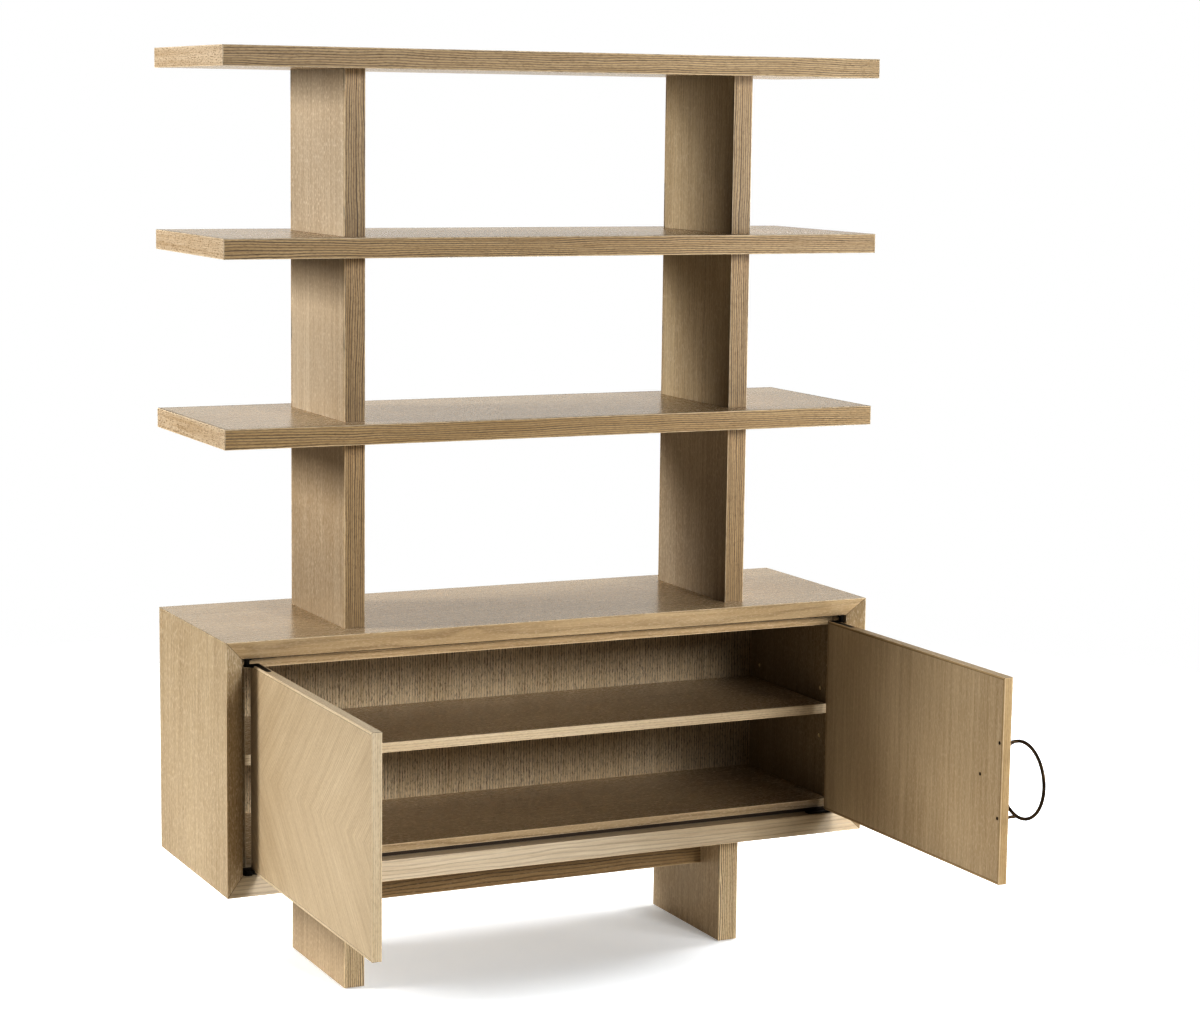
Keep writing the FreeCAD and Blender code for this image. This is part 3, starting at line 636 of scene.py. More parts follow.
# The same veneer set on end, with more ray fleck: a cloudy face with pale specks of lime.
OAK_UPRIGHT = TimberFinish(
    "limed_oak_fleck_veneer", "#D5C9B5", "#AD9B81", "#6E5539", 9.0, 30.0, 0.24, 0.5, 0.22, 0.36,
    (0.0, 0.6, 0.8), "#F7F0E3",
)
# Calmer copies of it for the panels lower down, each a little deeper: the deeper tone is painted
# shade.
OAK_PLAIN_SHADED = replace(
    OAK_UPRIGHT, name="limed_oak_plain_veneer", pores=0.35, mottle=0.2, tone=0.62
)
OAK_MORE_SHADED = replace(OAK_UPRIGHT, name="limed_oak_deep_veneer", pores=0.3, mottle=0.2, tone=0.85)
# A lighter and yellower copy for the upper two panels of the right stack: the extra lightness is
# painted light.
OAK_GOLDEN_LIT = replace(
    OAK_PLAIN_SHADED, name="limed_oak_golden_veneer", pale="#D9CBAF", honey="#B19D7C", tone=0.42
)
# The cupboard's side walls: a darker and browner copy, as painted shade inside the cupboard.
OAK_INNER_SHADED = replace(
    OAK_UPRIGHT, name="oiled_oak_lining_veneer", pale="#AB9A7D", honey="#86714F", pores=0.3,
    mottle=0.3,
)
# The case sides: a shade deeper than the uprights, with fainter pores.
OAK_CASE_SIDE = replace(
    OAK_UPRIGHT, name="limed_oak_case_veneer", pale="#C5B69B", honey="#A08C6E", pores=0.36,
    mottle=0.24,
)
# The rails under the case: streakier grain, and darker as painted shade under the case.
OAK_RAIL_SHADED = replace(
    OAK_TOP, name="limed_oak_rail_veneer", pale="#B5A07C", honey="#836A48", dark="#2A190C",
    spacing=7.0, line=0.9, lie=(0.0, 0.3, 1.0), gloss=0.36,
)
# Solid strips of rift sawn limed oak: dark lines that wander along the edge, pale speckled ends.
OAK_EDGING = TimberFinish(
    "limed_oak_edging", "#C6AF89", "#A0855A", "#1C0F08", 5.0, 26.0, 1.0, 0.35, 0.15, 0.42,
    (0.0, 1.0, 0.35), "#4E3720", end_line=0.1, end_tone=-0.35, end_pale="#CFC0AA",
    end_tint="#846A48", end_pores=0.55,
)
# The legs' strips, set on end: paler and greyer, with lines that swing further.
OAK_STRIP = replace(
    OAK_EDGING, name="limed_oak_strip", pale="#D2C3A9", honey="#AB997A", wander=40.0
)
# The uprights' strips: the same cut, a shade darker.
OAK_POST = replace(OAK_STRIP, name="limed_oak_post_strip", pale="#C3AC89", honey="#957C57")
# Limed oak lipping on the left door and the cupboard shelf: paler, with fine straight lines.
OAK_LIPPING = TimberFinish(
    "limed_oak_lipping", "#E2D7C2", "#C5B395", "#77603F", 3.4, 5.0, 0.3, 0.25, 0.15, 0.42,
    (0.0, 0.8, 0.6), "#8A7150",
)
# A darker copy of the lipping for the right door, as painted shade on its less lit edges.
OAK_LIPPING_SHADED = replace(
    OAK_LIPPING, name="limed_oak_deep_lipping", pale="#C6B393", honey="#A48D69", tone=0.7
)
# Limed oak crown veneer laid slanting on the doors: fine parallel lines that catch the light.
OAK_DOOR = TimberFinish(
    "limed_oak_slant_veneer", "#D5C7AE", "#AE9B7E", "#6E5539", 5.2, 16.0, 0.3, 0.2, 0.12, 0.34,
    (0.0, 1.0, 0.2), "#F4ECDD",
)
# Limed oak plain veneer on the back: coarse open streaks up and down.
OAK_BACK = TimberFinish(
    "limed_oak_open_veneer", "#EADDC6", "#BFAB88", "#3F2E1C", 6.0, 16.0, 0.5, 0.6, 0.3, 0.5,
    (0.0, 0.9, 0.4), "#4A3824",
)
# Poplar battens, made dark as painted shade in the slot they sit in; greyer and plainer than the
# oak round them.
BATTEN_SHADED = TimberFinish(
    "stained_batten", "#4E3F30", "#3C2F22", "#241A11", 5.0, 10.0, 0.3, 0.2, 0.3, 0.55
)
# Birch splines: pale, close grained.
BIRCH = TimberFinish("birch_spline", "#DCC7A2", "#CBB185", "#A48A60", 4.0, 8.0, 0.2, 0.1, 0.3, 0.55)
# Turned beech dowels: pinkish with short flecks.
BEECH = TimberFinish("beech_dowel", "#D3B48A", "#C09C70", "#8E6C45", 3.0, 6.0, 0.2, 0.3, 0.7, 0.5)

# Metals and plastics. The numbers are roughness, how metallic, and the patina's size.
# Oil rubbed bronze on steel rod: near black, brown where the light rolls over it.
BRONZE = MetalFinish("oil_rubbed_bronze", "#3A3128", "#5E4E3A", 0.38, 1.0, 14.0)
# Chemically blackened steel: dull black with grey glints at its arrises.
BLACK_STEEL = MetalFinish("blackened_steel", "#1A1816", "#2B2825", 0.42, 0.9, 9.0)
# Drawn brass, lightly aged: warm yellow with brown clouds.
BRASS = MetalFinish("aged_brass", "#C9A45A", "#9B7637", 0.30, 1.0, 6.0)
# Brass made near white and only partly metallic, as a painted highlight that keeps the sleeves
# light in the dark of the cupboard.
BRASS_GLINT = MetalFinish("lacquered_brass", "#FFF6DC", "#F0DFB4", 0.46, 0.35, 6.0)
# Zinc plated steel: cool grey with a faint spangle.
ZINC = MetalFinish("zinc_plated_steel", "#B9BBB8", "#94979A", 0.33, 1.0, 3.0)
# Moulded polyethylene glides: dark, waxy.
GLIDE = MetalFinish("polyethylene_glide", "#2B2A28", "#393733", 0.5, 0.0, 5.0)


def dress(node: str, material: bpy.types.Material) -> None:
    """Give a CAD node its finish and report it."""
    for slot in frame["nodes"][node].material_slots:
        slot.material = material
    LOG.info("dressed %s with %s", node, material.name)


def dress_timber(node: str, finish: TimberFinish, grain: Grain, **more: Any) -> None:
    """Dress a timber piece, its finish laid by its own box.

    Args:
        node: Name of the piece.
        finish: Its timber.
        grain: Way of its grain.
        more: Other fields of Lay.
    """
    dress(node, finish.material(node, lay_of(node, grain, **more)))


def dress_metal(finish: MetalFinish, *nodes: str) -> None:
    """Dress pieces of one metal, each with a material of its own."""
    for node in nodes:
        dress(node, finish.material(node))


@dataclass(frozen=True)
class Fastener:
    """Where a turned fitting starts and which way it points."""

    head: Vector
    aim: Vector


def loose_solids(node: str) -> list[np.ndarray]:
    """Split a CAD node into its separate solids.

    Args:
        node: Name of the node.

    Returns:
        The corner points of each solid, in metres.
    """
    mesh = frame["nodes"][node].data
    points = np.empty(len(mesh.vertices) * 3)
    mesh.vertices.foreach_get("co", points)
    points = np.round(points.reshape(-1, 3), WELD_DIGITS)
    corners, places = np.unique(points, axis=0, return_inverse=True)
    places = np.ravel(places)
    leader = list(range(len(corners)))

    def lead(index: int) -> int:
        """Find the corner that stands for this corner's solid."""
        while leader[index] != index:
            leader[index] = leader[leader[index]]
            index = leader[index]
        return index

    for polygon in mesh.polygons:
        first, *others = (int(places[vertex]) for vertex in polygon.vertices)
        for other in others:
            leader[lead(other)] = lead(first)
    groups: dict[int, list[int]] = {}
    for index in range(len(corners)):
        groups.setdefault(lead(index), []).append(index)
    return [corners[members] for members in groups.values()]


def headed_fasteners(node: str) -> list[Fastener]:
    """Find the head and the direction of each screw in a node.

    Args:
        node: Name of the node.

    Returns:
        One fastener for each solid, its aim from the head to the tip.
    """
    found = []
    for corners in loose_solids(node):
        middle = corners.mean(axis=0)
        axis = np.linalg.eigh(np.cov((corners - middle).T))[1][:, 2]
        along = (corners - middle) @ axis
        away = np.linalg.norm((corners - middle) - np.outer(along, axis), axis=1)
        low_half = along < (along.min() + along.max()) / 2
        if away[~low_half].max() > away[low_half].max():
            axis, along = -axis, -along
        start = middle + axis * along.min()
        found.append(Fastener(Vector(start), Vector(axis)))
    return found


class ShapeWiring(Wiring):
    """Adds geometry nodes to one tree."""

    # Edges that turn by less than this many radians are shaded smooth.
    soft_edge = 0.6

    def cone(self, sides: int, top: Source, bottom: Source, depth: Source) -> Node:
        """Add a round shape, straight or tapered, that stands on the origin."""
        sizes = {"Radius Top": top, "Radius Bottom": bottom, "Depth": depth}
        return self.add("GeometryNodeMeshCone", {}, {"Vertices": sides, **sizes})

    def raised(self, shape: Node, height: Source) -> Node:
        """Lift a shape."""
        inputs = {"Geometry": shape, "Translation": self.join(0.0, 0.0, height)}
        return self.add("GeometryNodeTransform", {}, inputs)

    def swept(self, radius: Source, steps: int, rod: Source, sides: int) -> Node:
        """Sweep a round rod round a circle."""
        path, section = (
            self.add("GeometryNodeCurvePrimitiveCircle", {}, {"Resolution": count, "Radius": size})
            for count, size in ((steps, radius), (sides, rod))
        )
        inputs = {"Curve": path, "Profile Curve": section}
        return self.add("GeometryNodeCurveToMesh", {}, inputs)

    def cut(self, shape: Node, *tools: Node) -> Node:
        """Cut tools out of a shape."""
        rest = self.add("GeometryNodeMeshBoolean", {"operation": "DIFFERENCE"}, {"Mesh 1": shape})
        for tool in tools:
            self.tree.links.new(tool.outputs[0], rest.inputs["Mesh 2"])
        return rest

    def together(self, *shapes: Node) -> Node:
        """Take shapes as one."""
        whole = self.add("GeometryNodeJoinGeometry")
        for shape in shapes:
            self.tree.links.new(shape.outputs[0], whole.inputs[0])
        return whole

    def stand_on_seeds(self, given: Mapping[str, Any], shape: Node) -> None:
        """End the tree with a copy of a shape on each seed, realised, smoothed and dressed.

        Args:
            given: The tree's inputs by name.
            shape: Node that gives the shape, which points along +Z.
        """
        add = self.add
        kind = {"data_type": "FLOAT_VECTOR"}
        aim = add("GeometryNodeInputNamedAttribute", kind, {"Name": "aim"})
        turn = add("FunctionNodeAlignRotationToVector", {"axis": "Z"}, {"Vector": aim})
        points = add("GeometryNodeMeshToPoints", {}, {"Mesh": given["Seeds"]})
        copies = {"Points": points, "Instance": shape, "Rotation": turn}
        stood = add("GeometryNodeInstanceOnPoints", {}, copies)
        shaded = add("GeometryNodeRealizeInstances", {}, {"Geometry": stood})
        test = {"data_type": "FLOAT", "operation": "LESS_THAN"}
        angle = add("GeometryNodeInputMeshEdgeAngle")
        soft = add("FunctionNodeCompare", test, {0: angle, 1: self.soft_edge})
        for domain, share in (("EDGE", soft), ("FACE", True)):
            inputs = {"Geometry": shaded, "Shade Smooth": share}
            shaded = add("GeometryNodeSetShadeSmooth", {"domain": domain}, inputs)
        dressed = {"Geometry": shaded, "Material": given["Finish"]}
        add("NodeGroupOutput", {}, {"Geometry": add("GeometryNodeSetMaterial", {}, dressed)})


@dataclass(frozen=True)
class Fitting:
    """A fitting made on seed points. Its sizes, in millimetres, name its tree's inputs."""

    tree_name: ClassVar[str] = "fitting"

    def shape(self, wire: ShapeWiring, given: Mapping[str, Any]) -> Node:
        """Draw the fitting so that it points along +Z. Each kind draws its own.

        Args:
            wire: The tree's wiring.
            given: The tree's inputs by name, in metres.

        Returns:
            A node that gives the shape.
        """
        raise NotImplementedError

    def cast(
        self, name: str, seeds: Sequence[Fastener], finish: bpy.types.Material
    ) -> bpy.types.Object:
        """Stand the fitting on seed points and keep it as a plain mesh.

        Args:
            name: Name of the new piece.
            seeds: Where the fitting stands and points.
            finish: Its material.

        Returns:
            The piece, its place in its mesh.
        """
        sizes = {item.name: getattr(self, item.name) * MM for item in fields(self)}
        geometry = "NodeSocketGeometry"
        tree = open_group(
            self.tree_name,
            "GeometryNodeTree",
            [("Seeds", geometry), ("Finish", "NodeSocketMaterial")]
            + [(label, "NodeSocketFloat") for label in sizes],
            [("Geometry", geometry)],
        )
        wire = ShapeWiring(tree)
        given = wire.given()
        wire.stand_on_seeds(given, self.shape(wire, given))
        mesh = bpy.data.meshes.new(f"{name}_seeds")
        mesh.from_pydata([seed.head for seed in seeds], [], [])
        aims = mesh.attributes.new("aim", "FLOAT_VECTOR", "POINT")
        aims.data.foreach_set("vector", [part for seed in seeds for part in seed.aim])
        carrier = bpy.data.objects.new(f"{name}_carrier", mesh)
        bpy.context.scene.collection.objects.link(carrier)
        modifier = carrier.modifiers.new("shape", "NODES")
        modifier.node_group = tree
        values = {"Finish": finish, **sizes}
        for item in tree.interface.items_tree:
            if item.item_type == "SOCKET" and item.in_out == "INPUT" and item.name in values:
                modifier[item.identifier] = values[item.name]
        depsgraph = bpy.context.evaluated_depsgraph_get()
        plain = bpy.data.meshes.new_from_object(carrier.evaluated_get(depsgraph))
        bpy.data.objects.remove(carrier)
        plain.name = name
        piece = bpy.data.objects.new(name, plain)
        bpy.context.scene.collection.objects.link(piece)
        LOG.info("built %s: %d faces", name, len(plain.polygons))
        return piece


@dataclass(frozen=True)
class CrossScrew(Fitting):
    """A screw with a cross recess: a head, a shank and a point."""

    head_radius: float
    head_height: float
    under_radius: float
    shank_radius: float
    length: float
    recess: float
    recess_width: float
    recess_depth: float
    tree_name: ClassVar[str] = "cross_recess_screw"
    head_sides: ClassVar[int] = 32
    shank_sides: ClassVar[int] = 20
    # The point's length in radii of the shank.
    point_radii: ClassVar[float] = 2.4

    def shape(self, wire: ShapeWiring, given: Mapping[str, Any]) -> Node:
        """Draw the screw. Arguments and result are Fitting's."""
        radius, rise = given["shank_radius"], given["head_height"]
        head = wire.cone(self.head_sides, given["under_radius"], given["head_radius"], rise)
        arm, width = given["recess"], given["recess_width"]
        twice = wire.maths("MULTIPLY", given["recess_depth"], 2.0)
        bars = [
            wire.add("GeometryNodeMeshCube", {}, {"Size": wire.join(*sides, twice)})
            for sides in ((arm, width), (width, arm))
        ]
        head = wire.cut(head, *bars)
        tip = wire.maths("MULTIPLY", radius, self.point_radii)
        straight = wire.maths("SUBTRACT", wire.maths("SUBTRACT", given["length"], rise), tip)
        shank = wire.raised(wire.cone(self.shank_sides, radius, radius, straight), rise)
        point = wire.cone(self.shank_sides, 0.0, radius, tip)
        point = wire.raised(point, wire.maths("ADD", rise, straight))
        return wire.together(point, shank, head)


@dataclass(frozen=True)
class Sleeve(Fitting):
    """A pin sleeve: a bored tube with a rolled lip at its start."""

    radius: float
    bore: float
    depth: float
    lip: float
    tree_name: ClassVar[str] = "rolled_lip_sleeve"
    sides: ClassVar[int] = 36
    lip_sides: ClassVar[int] = 12
    lip_sink: ClassVar[float] = 0.2
    # The bore's tool is longer than the tube and starts before it, as shares of the depth.
    tool_length: ClassVar[float] = 1.2
    tool_start: ClassVar[float] = -0.1

    def shape(self, wire: ShapeWiring, given: Mapping[str, Any]) -> Node:
        """Draw the sleeve. Arguments and result are Fitting's."""
        radius, bore, depth, lip = (given[label] for label in ("radius", "bore", "depth", "lip"))
        tube = wire.cone(self.sides, radius, radius, depth)
        tool = wire.cone(self.sides, bore, bore, wire.maths("MULTIPLY", depth, self.tool_length))
        tool = wire.raised(tool, wire.maths("MULTIPLY", depth, self.tool_start))
        tube = wire.cut(tube, tool)
        middle = wire.maths("SUBTRACT", wire.maths("ADD", radius, lip), self.lip_sink * MM)
        roll = wire.raised(wire.swept(middle, self.sides, lip, self.lip_sides), lip)
        return wire.together(roll, tube)


@dataclass(frozen=True)
class Ring(Fitting):
    """The pull's ring: a round rod swept round a circle."""

    ring_radius: float
    rod_radius: float
    tree_name: ClassVar[str] = "swept_ring"
    steps: ClassVar[int] = 192
    sides: ClassVar[int] = 28

    def shape(self, wire: ShapeWiring, given: Mapping[str, Any]) -> Node:
        """Draw the ring. Arguments and result are Fitting's."""
        return wire.swept(given["ring_radius"], self.steps, given["rod_radius"], self.sides)


@dataclass
class OpenShelves:
    """Three long shelves on two stacks of uprights, in millimetres."""

    levels: tuple[str, ...] = ("lower", "middle", "top")
    bays: tuple[str, ...] = ("lower", "middle", "upper")
    strip_shift: float = 211.0

    def build(self) -> None:
        """Dress the shelves, then the uprights between them."""
        for level in self.levels:
            dress_timber(f"{level}_shelf_panel", OAK_TOP, Grain.LENGTH, seam_axes="xy")
            edging = f"{level}_shelf_edging"
            dress_timber(edging, OAK_EDGING, Grain.RIM_FLAT, worn=0.8, mitre_axes="xy")
        # Lower panels take deeper copies as painted shade; the right stack's upper two take a
        # lighter copy as painted light.
        for side, finishes in (
            ("left", (OAK_MORE_SHADED, OAK_PLAIN_SHADED, OAK_UPRIGHT)),
            ("right", (OAK_PLAIN_SHADED, OAK_GOLDEN_LIT, OAK_GOLDEN_LIT)),
        ):
            for bay, finish in zip(self.bays, finishes):
                dress_timber(f"{side}_{bay}_upright", finish, Grain.UPRIGHT, seam_axes="y")
        strips = stack_strips(self.strip_shift)
        dress("upright_edging", OAK_POST.material("upright_edging", strips))
        dress_timber("stack_dowels", BEECH, Grain.UPRIGHT)
        dress_metal(ZINC, "tie_rods", "tie_rod_nuts")


@dataclass
class Case:
    """The mitred case with its liner, battens and back, in millimetres."""

    centre: Triple = (0.0, 0.0, 519.5)
    half: Triple = (762.0, 234.0, 270.5)
    back_screw: CrossScrew = CrossScrew(
        head_radius=3.5, head_height=2.2, under_radius=1.75, shank_radius=1.75, length=32.0,
        recess=4.0, recess_width=0.9, recess_depth=1.5,
    )

    def build(self) -> None:
        """Dress the boards and the liner, then make the back's screws."""
        # The bottom board takes the paler copy, as painted light on its front edge.
        for name, finish, grain in (
            ("top", OAK_TOP, Grain.LENGTH), ("bottom", OAK_CASE_FLOOR_LIT, Grain.LENGTH),
            ("left", OAK_CASE_SIDE, Grain.UPRIGHT), ("right", OAK_CASE_SIDE, Grain.UPRIGHT),
        ):
            box = {"centre": self.centre, "half": self.half}
            dress_timber(f"case_{name}_board", finish, grain, worn=0.7, mitre_axes="xz", **box)
        # The liner's side walls take the darker copy as painted shade.
        for name, finish, grain in (
            ("bottom", OAK_TOP, Grain.LENGTH), ("top", OAK_TOP, Grain.LENGTH),
            ("left_side", OAK_INNER_SHADED, Grain.UPRIGHT), ("right_side", OAK_INNER_SHADED, Grain.UPRIGHT),
        ):
            dress_timber(f"liner_{name}", finish, grain, worn=0.5)
        dress_timber("back_panel", OAK_BACK, Grain.UPRIGHT)
        # The battens take a dark finish as painted shade in their slot.
        dress_timber("liner_battens", BATTEN_SHADED, Grain.LENGTH)
        dress_timber("mitre_splines", BIRCH, Grain.LENGTH)
        node = "back_panel_screws"
        screws, finish = headed_fasteners(node), ZINC.material(node)
        piece = self.back_screw.cast("cross_head_back_screws", screws, finish)
        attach(piece, "cabinet")
        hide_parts("back_panel_screws")


@dataclass
class CupboardShelf:
    """The loose shelf on its pins, with the brass sleeves, in millimetres."""

    sleeve: Sleeve = Sleeve(radius=4.0, bore=2.55, depth=12.8, lip=0.4)

    def build(self) -> None:
        """Dress the shelf and its pins, then make the sleeves."""
        dress_timber("cupboard_shelf_panel", OAK_TOP, Grain.LENGTH)
        dress_timber("cupboard_shelf_edging", OAK_LIPPING, Grain.LENGTH, worn=0.6)
        dress_metal(BRASS, "shelf_pins")
        node = "shelf_pin_sleeves"
        seeds = []
        for corners in loose_solids(node):
            low, high = corners.min(axis=0), corners.max(axis=0)
            middle = (low + high) / 2
            outward = 1.0 if middle[0] > 0 else -1.0
            start = low[0] if outward > 0 else high[0]
            head = Vector((start, middle[1], middle[2]))
            seeds.append(Fastener(head, Vector((outward, 0.0, 0.0))))
        # The sleeves take a near white brass as a painted highlight.
        piece = self.sleeve.cast("rolled_lip_sleeves", seeds, BRASS_GLINT.material(node))
        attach(piece, "cabinet")
        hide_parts("shelf_pin_sleeves")


@dataclass
class Hinges:
    """Pivot hinges at the cupboard's four corners, with their screws, in millimetres."""

    screw: CrossScrew = CrossScrew(
        head_radius=3.2, head_height=1.8, under_radius=1.6, shank_radius=1.6, length=24.0,
        recess=3.6, recess_width=0.8, recess_depth=1.2,
    )

    def build(self) -> None:
        """Dress the leaves, pins and spacers, then make the screws of each body."""
        for side in ("left", "right"):
            for level in ("top", "bottom"):
                leaves = (f"{side}_{level}_case_leaf", f"{side}_door_{level}_leaf")
                dress_metal(BLACK_STEEL, *leaves)
        dress_metal(BLACK_STEEL, "hinge_pins", "hinge_spacers")
        for node, body in (
            ("case_hinge_screws", "cabinet"),
            ("left_door_hinge_screws", "left_door"),
            ("right_door_hinge_screws", "right_door"),
        ):
            screws, finish = headed_fasteners(node), BLACK_STEEL.material(node)
            piece = self.screw.cast(f"cross_head_{node}", screws, finish)
            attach(piece, body)
            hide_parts(node)


@dataclass
class Door:
    """One door with its slanting veneer, in millimetres and degrees."""

    side: str
    rest_angle: float = 90.4
    pivot_x: float = 710.5
    pivot_y: float = -212.0
    pivot_inset: float = 7.5
    pivot_front: float = 10.0
    width: float = 716.5
    height: float = 439.5
    thickness: float = 20.0
    middle_z: float = 517.25
    rim: float = 5.0
    grain_shift: float = 307.0

    def lay(self, grain: Grain, inset: float, **more: Any) -> Lay:
        """Lay a finish on the closed door.

        Args:
            grain: Way of the grain.
            inset: How far the piece's edge lies inside the door's.
            more: Other fields of Lay.

        Returns:
            The lay.
        """
        hand = -1 if self.side == "left" else 1
        pivot = (hand * self.pivot_x, self.pivot_y, 0.0)
        swing = Swing(pivot, -hand * math.radians(self.rest_angle), -hand)
        middle_y = self.pivot_front + self.thickness / 2
        centre = (self.width / 2 - self.pivot_inset, middle_y, self.middle_z)
        half = (self.width / 2 - inset, self.thickness / 2, self.height / 2 - inset)
        return Lay(grain, centre, half, shift=self.grain_shift, swing=swing, **more)

    def build(self) -> None:
        """Dress the panel and its edging."""
        node = f"{self.side}_door_panel"
        dress(node, OAK_DOOR.material(node, self.lay(Grain.DIAMOND, self.rim, seam_axes="xz")))
        node = f"{self.side}_door_edging"
        # The right door's lipping takes the darker copy as painted shade.
        lipping = OAK_LIPPING if self.side == "left" else OAK_LIPPING_SHADED
        lay = self.lay(Grain.RIM_DOOR, 0.0, mitre_axes="xz", worn=0.6)
        dress(node, lipping.material(node, lay))


@dataclass
class RingPull:
    """The ring on the right door, with its posts and screws, in millimetres."""

    ring: Ring = Ring(ring_radius=81.0, rod_radius=3.5)
    screw: CrossScrew = CrossScrew(
        head_radius=3.4, head_height=1.6, under_radius=3.4, shank_radius=2.0, length=31.6,
        recess=4.4, recess_width=1.1, recess_depth=1.1,
    )

    def build(self) -> None:
        """Sweep the ring, then make the screws behind it."""
        dress_metal(BRONZE, "handle_posts")
        node = "ring_handle"
        low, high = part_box("ring_handle")
        corners = loose_solids(node)[0]
        axis = np.linalg.eigh(np.cov((corners - corners.mean(axis=0)).T))[1][:, 0]
        seeds = [Fastener((low + high) / 2, Vector(axis))]
        ring = self.ring.cast("swept_ring_pull", seeds, BRONZE.material(node))
        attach(ring, "right_door")
        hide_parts("ring_handle")
        node = "handle_screws"
        seeds, finish = headed_fasteners(node), BRONZE.material(node)
        screws = self.screw.cast("cross_head_handle_screws", seeds, finish)
        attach(screws, "right_door")
        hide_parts("handle_screws")


@dataclass
class Base:
    """Leg panels, rails and what holds them, in millimetres."""

    strip_shift: float = 577.0

    def build(self) -> None:
        """Dress the legs, the rails and their fastenings."""
        # The legs take the deeper copy as painted shade.
        for side in ("left", "right"):
            dress_timber(f"{side}_leg_panel", OAK_PLAIN_SHADED, Grain.UPRIGHT, seam_axes="y")
        dress("leg_edging", OAK_STRIP.material("leg_edging", stack_strips(self.strip_shift)))
        for node in ("front_rail", "rear_rail"):
            dress_timber(node, OAK_RAIL_SHADED, Grain.LENGTH, worn=0.5)
        dress_timber("rail_dowels", BEECH, Grain.LENGTH)
        dress_metal(ZINC, "leg_bolts")
        dress_metal(GLIDE, "floor_glides")


@dataclass(frozen=True)
class Softbox:
    """One area light, in metres and watts, its spread in degrees."""

    name: str
    place: Triple
    aim: Triple
    width: float
    height: float
    power: float
    tint: str = "#FFFFFF"
    spread: float = 180.0

    def build(self) -> None:
        """Hang the light and point it."""
        data = bpy.data.lights.new(self.name, "AREA")
        data.shape = "RECTANGLE"
        data.size = self.width
        data.size_y = self.height
        data.energy = self.power
        data.color = linear(self.tint)[:3]
        data.spread = math.radians(self.spread)
        lamp = bpy.data.objects.new(self.name, data)
        lamp.location = self.place
        way = Vector(self.aim) - Vector(self.place)
        lamp.rotation_euler = way.to_track_quat("-Z", "Y").to_euler()
        bpy.context.scene.collection.objects.link(lamp)


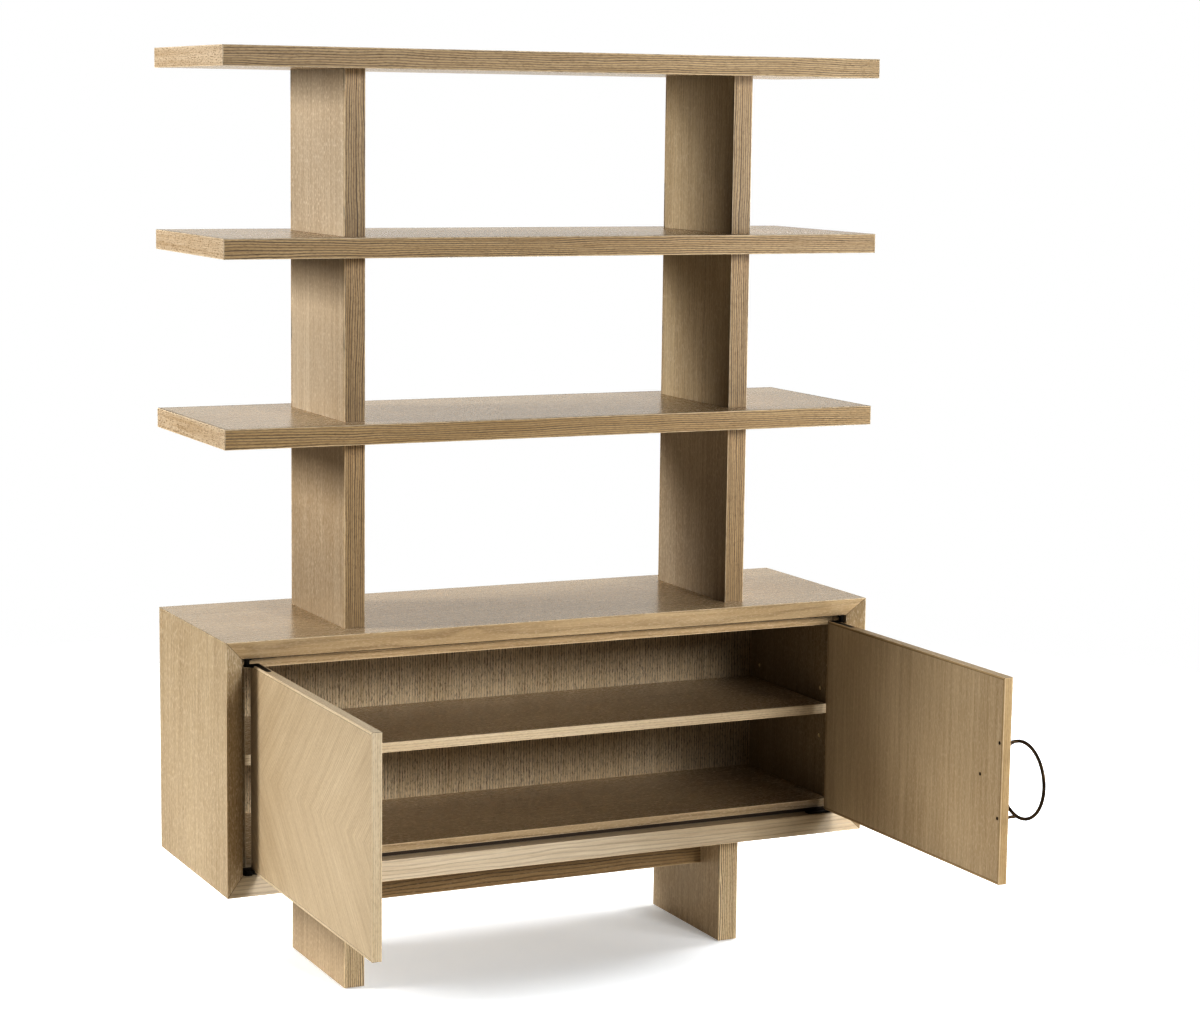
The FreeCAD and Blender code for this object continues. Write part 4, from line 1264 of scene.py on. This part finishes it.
@dataclass
class Studio:
    """Floor, lights and camera, in metres and radians. Glows and skies are strengths."""

    softboxes: tuple[Softbox, ...] = (
        Softbox("key_left", (-4.19, 1.0, 2.37), (0.0, 0.0, 1.05), 1.15, 1.15, 192.0, "#FFFDFB"),
        Softbox("front_right", (2.06, -8.2, 3.84), (0.0, 0.0, 0.9), 2.0, 2.0, 450.0),
        Softbox("side_right", (2.7, -3.0, 1.5), (0.4, 0.0, 1.1), 1.2, 1.2, 62.0),
        Softbox("rim_right", (4.5, 0.6, 1.6), (0.0, 0.0, 1.0), 1.5, 2.0, 150.0),
        Softbox("over_top", (0.0, 0.0, 2.9), (0.0, 0.0, 0.0), 1.5, 0.45, 2.0, spread=70.0),
    )
    floor_radius: float = 4.2
    floor_steps: int = 96
    fade_from: float = 2.4
    clear_rim: float = 0.1
    fibre_scale: float = 30.0
    fibre_detail: float = 3.0
    # The glow rises away from the unit over an oval: its scales in X and Y, and the rise's span.
    oval: Triple = (0.85, 1.7, 0.0)
    oval_span: Pair = (0.3, 1.1)
    floor_glow: float = 0.19
    near_glow: float = 0.27
    outer_glow: float = 0.85
    backdrop_way: Triple = (0.6, 0.8, 0.0)
    backdrop_span: Pair = (0.55, 0.88)
    backdrop: float = 1.14
    sky: float = 0.02
    lens: float = 85.53
    sensor: float = 36.0
    farthest: float = 100.0
    camera_place: Triple = (-2.56575, -5.75558, 1.87463)
    yaw: float = 0.4477
    pitch: float = 0.1394
    roll: float = 0.0127
    view_gamma: float = 0.7

    def build(self) -> None:
        """Set the floor, the lights, the sky and the camera."""
        self.build_floor()
        for softbox in self.softboxes:
            softbox.build()
        self.build_sky()
        self.build_camera()

    def build_floor(self) -> None:
        """Pale floor with a painted glow that rises away from the unit, fading into the white
        behind it.
        """
        steps, radius = self.floor_steps, self.floor_radius
        turns = [math.tau * step / steps for step in range(steps)]
        rim = [(radius * math.cos(turn), radius * math.sin(turn), 0.0) for turn in turns]
        wedges = [(0, step + 1, (step + 1) % steps + 1) for step in range(steps)]
        mesh = bpy.data.meshes.new("studio_floor")
        mesh.from_pydata([(0.0, 0.0, 0.0)] + rim, [], wedges)
        material, wire = open_material("matt_white_floor_paper")
        place = wire.add("ShaderNodeTexCoord").outputs["Object"]
        away = wire.vector("LENGTH", place)
        fibres = wire.noise(place, self.fibre_scale, self.fibre_detail)
        tint = wire.mix(fibres, linear("#EFF3F8"), linear("#F1F5FA"))
        # The floor's own light on the unit is set apart from how bright the floor looks.
        seen = wire.add("ShaderNodeLightPath").outputs["Is Camera Ray"]
        tint = wire.mix(seen, linear("#F0E9DB"), tint)
        paper = wire.add("ShaderNodeBsdfDiffuse", {}, {"Color": tint})
        oval = wire.vector("LENGTH", wire.vector("MULTIPLY", place, self.oval))
        outer = wire.remap(oval.outputs["Value"], self.oval_span, self.near_glow, self.outer_glow)
        strength = wire.mix(seen, self.floor_glow, outer, "FLOAT")
        warm = wire.mix(seen, linear("#FFF6EA"), linear("#F5FAFF"))
        glow = wire.add("ShaderNodeEmission", {}, {"Color": warm, "Strength": strength})
        paper = wire.add("ShaderNodeAddShader", {}, {0: paper, 1: glow})
        clear = wire.add("ShaderNodeBsdfTransparent")
        edge = (self.fade_from, radius - self.clear_rim)
        share = wire.remap(away.outputs["Value"], edge)
        mixed = wire.add("ShaderNodeMixShader", {}, {0: share, 1: paper, 2: clear})
        wire.add("ShaderNodeOutputMaterial", {}, {"Surface": mixed})
        mesh.materials.append(material)
        floor = bpy.data.objects.new("studio_floor", mesh)
        bpy.context.scene.collection.objects.link(floor)

    def build_sky(self) -> None:
        """Bright backdrop and a dim room round it, white where the camera sees past the floor."""
        world = bpy.data.worlds.new("studio_surround")
        bpy.context.scene.world = world
        world.use_nodes = True
        world.node_tree.nodes.clear()
        wire = Wiring(world.node_tree)
        way = wire.add("ShaderNodeTexCoord").outputs["Generated"]
        facing = wire.vector("DOT_PRODUCT", way, self.backdrop_way).outputs["Value"]
        strength = wire.remap(facing, self.backdrop_span, self.sky, self.backdrop)
        seen = wire.add("ShaderNodeLightPath").outputs["Is Camera Ray"]
        strength = wire.mix(seen, strength, 1.0, "FLOAT")
        warm = wire.mix(seen, linear("#FFFAF3"), linear("#FFFFFF"))
        light = wire.add("ShaderNodeBackground", {}, {"Color": warm, "Strength": strength})
        wire.add("ShaderNodeOutputWorld", {}, {"Surface": light})

    def build_camera(self) -> None:
        """Camera at the photograph's angle."""
        sine, cosine = math.sin, math.cos
        level = cosine(self.pitch)
        look = Vector((sine(self.yaw) * level, cosine(self.yaw) * level, -sine(self.pitch)))
        right = Vector((cosine(self.yaw), -sine(self.yaw), 0.0))
        up = right.cross(look)
        across = right * cosine(self.roll) + up * sine(self.roll)
        over = up * cosine(self.roll) - right * sine(self.roll)
        data = bpy.data.cameras.new("photograph_angle")
        data.sensor_fit = "HORIZONTAL"
        data.sensor_width = self.sensor
        data.lens = self.lens
        data.clip_end = self.farthest
        camera = bpy.data.objects.new("photograph_angle", data)
        turn = Matrix((across, over, -look)).transposed().to_4x4()
        camera.matrix_world = Matrix.Translation(self.camera_place) @ turn
        scene = bpy.context.scene
        scene.collection.objects.link(camera)
        scene.camera = camera
        scene.view_settings.view_transform = "Standard"
        scene.view_settings.look = "None"
        scene.view_settings.gamma = self.view_gamma


def clear_startup() -> None:
    """Take away what a new file holds besides the loaded model."""
    kept = set(frame["nodes"].values()) | set(frame["bodies"].values())
    for thing in [item for item in bpy.data.objects if item not in kept]:
        bpy.data.objects.remove(thing)


def main() -> None:
    """Build every sub-assembly and the studio."""
    logging.basicConfig(level=logging.INFO, format="%(name)s %(message)s")
    clear_startup()
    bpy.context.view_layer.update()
    studio = Studio()
    studio.build()
    doors = Door("left"), Door("right")
    for part in (OpenShelves(), Case(), CupboardShelf(), Hinges(), *doors, RingPull(), Base()):
        LOG.info("sub-assembly %s", type(part).__name__)
        part.build()


if __name__ == "__main__":
    main()
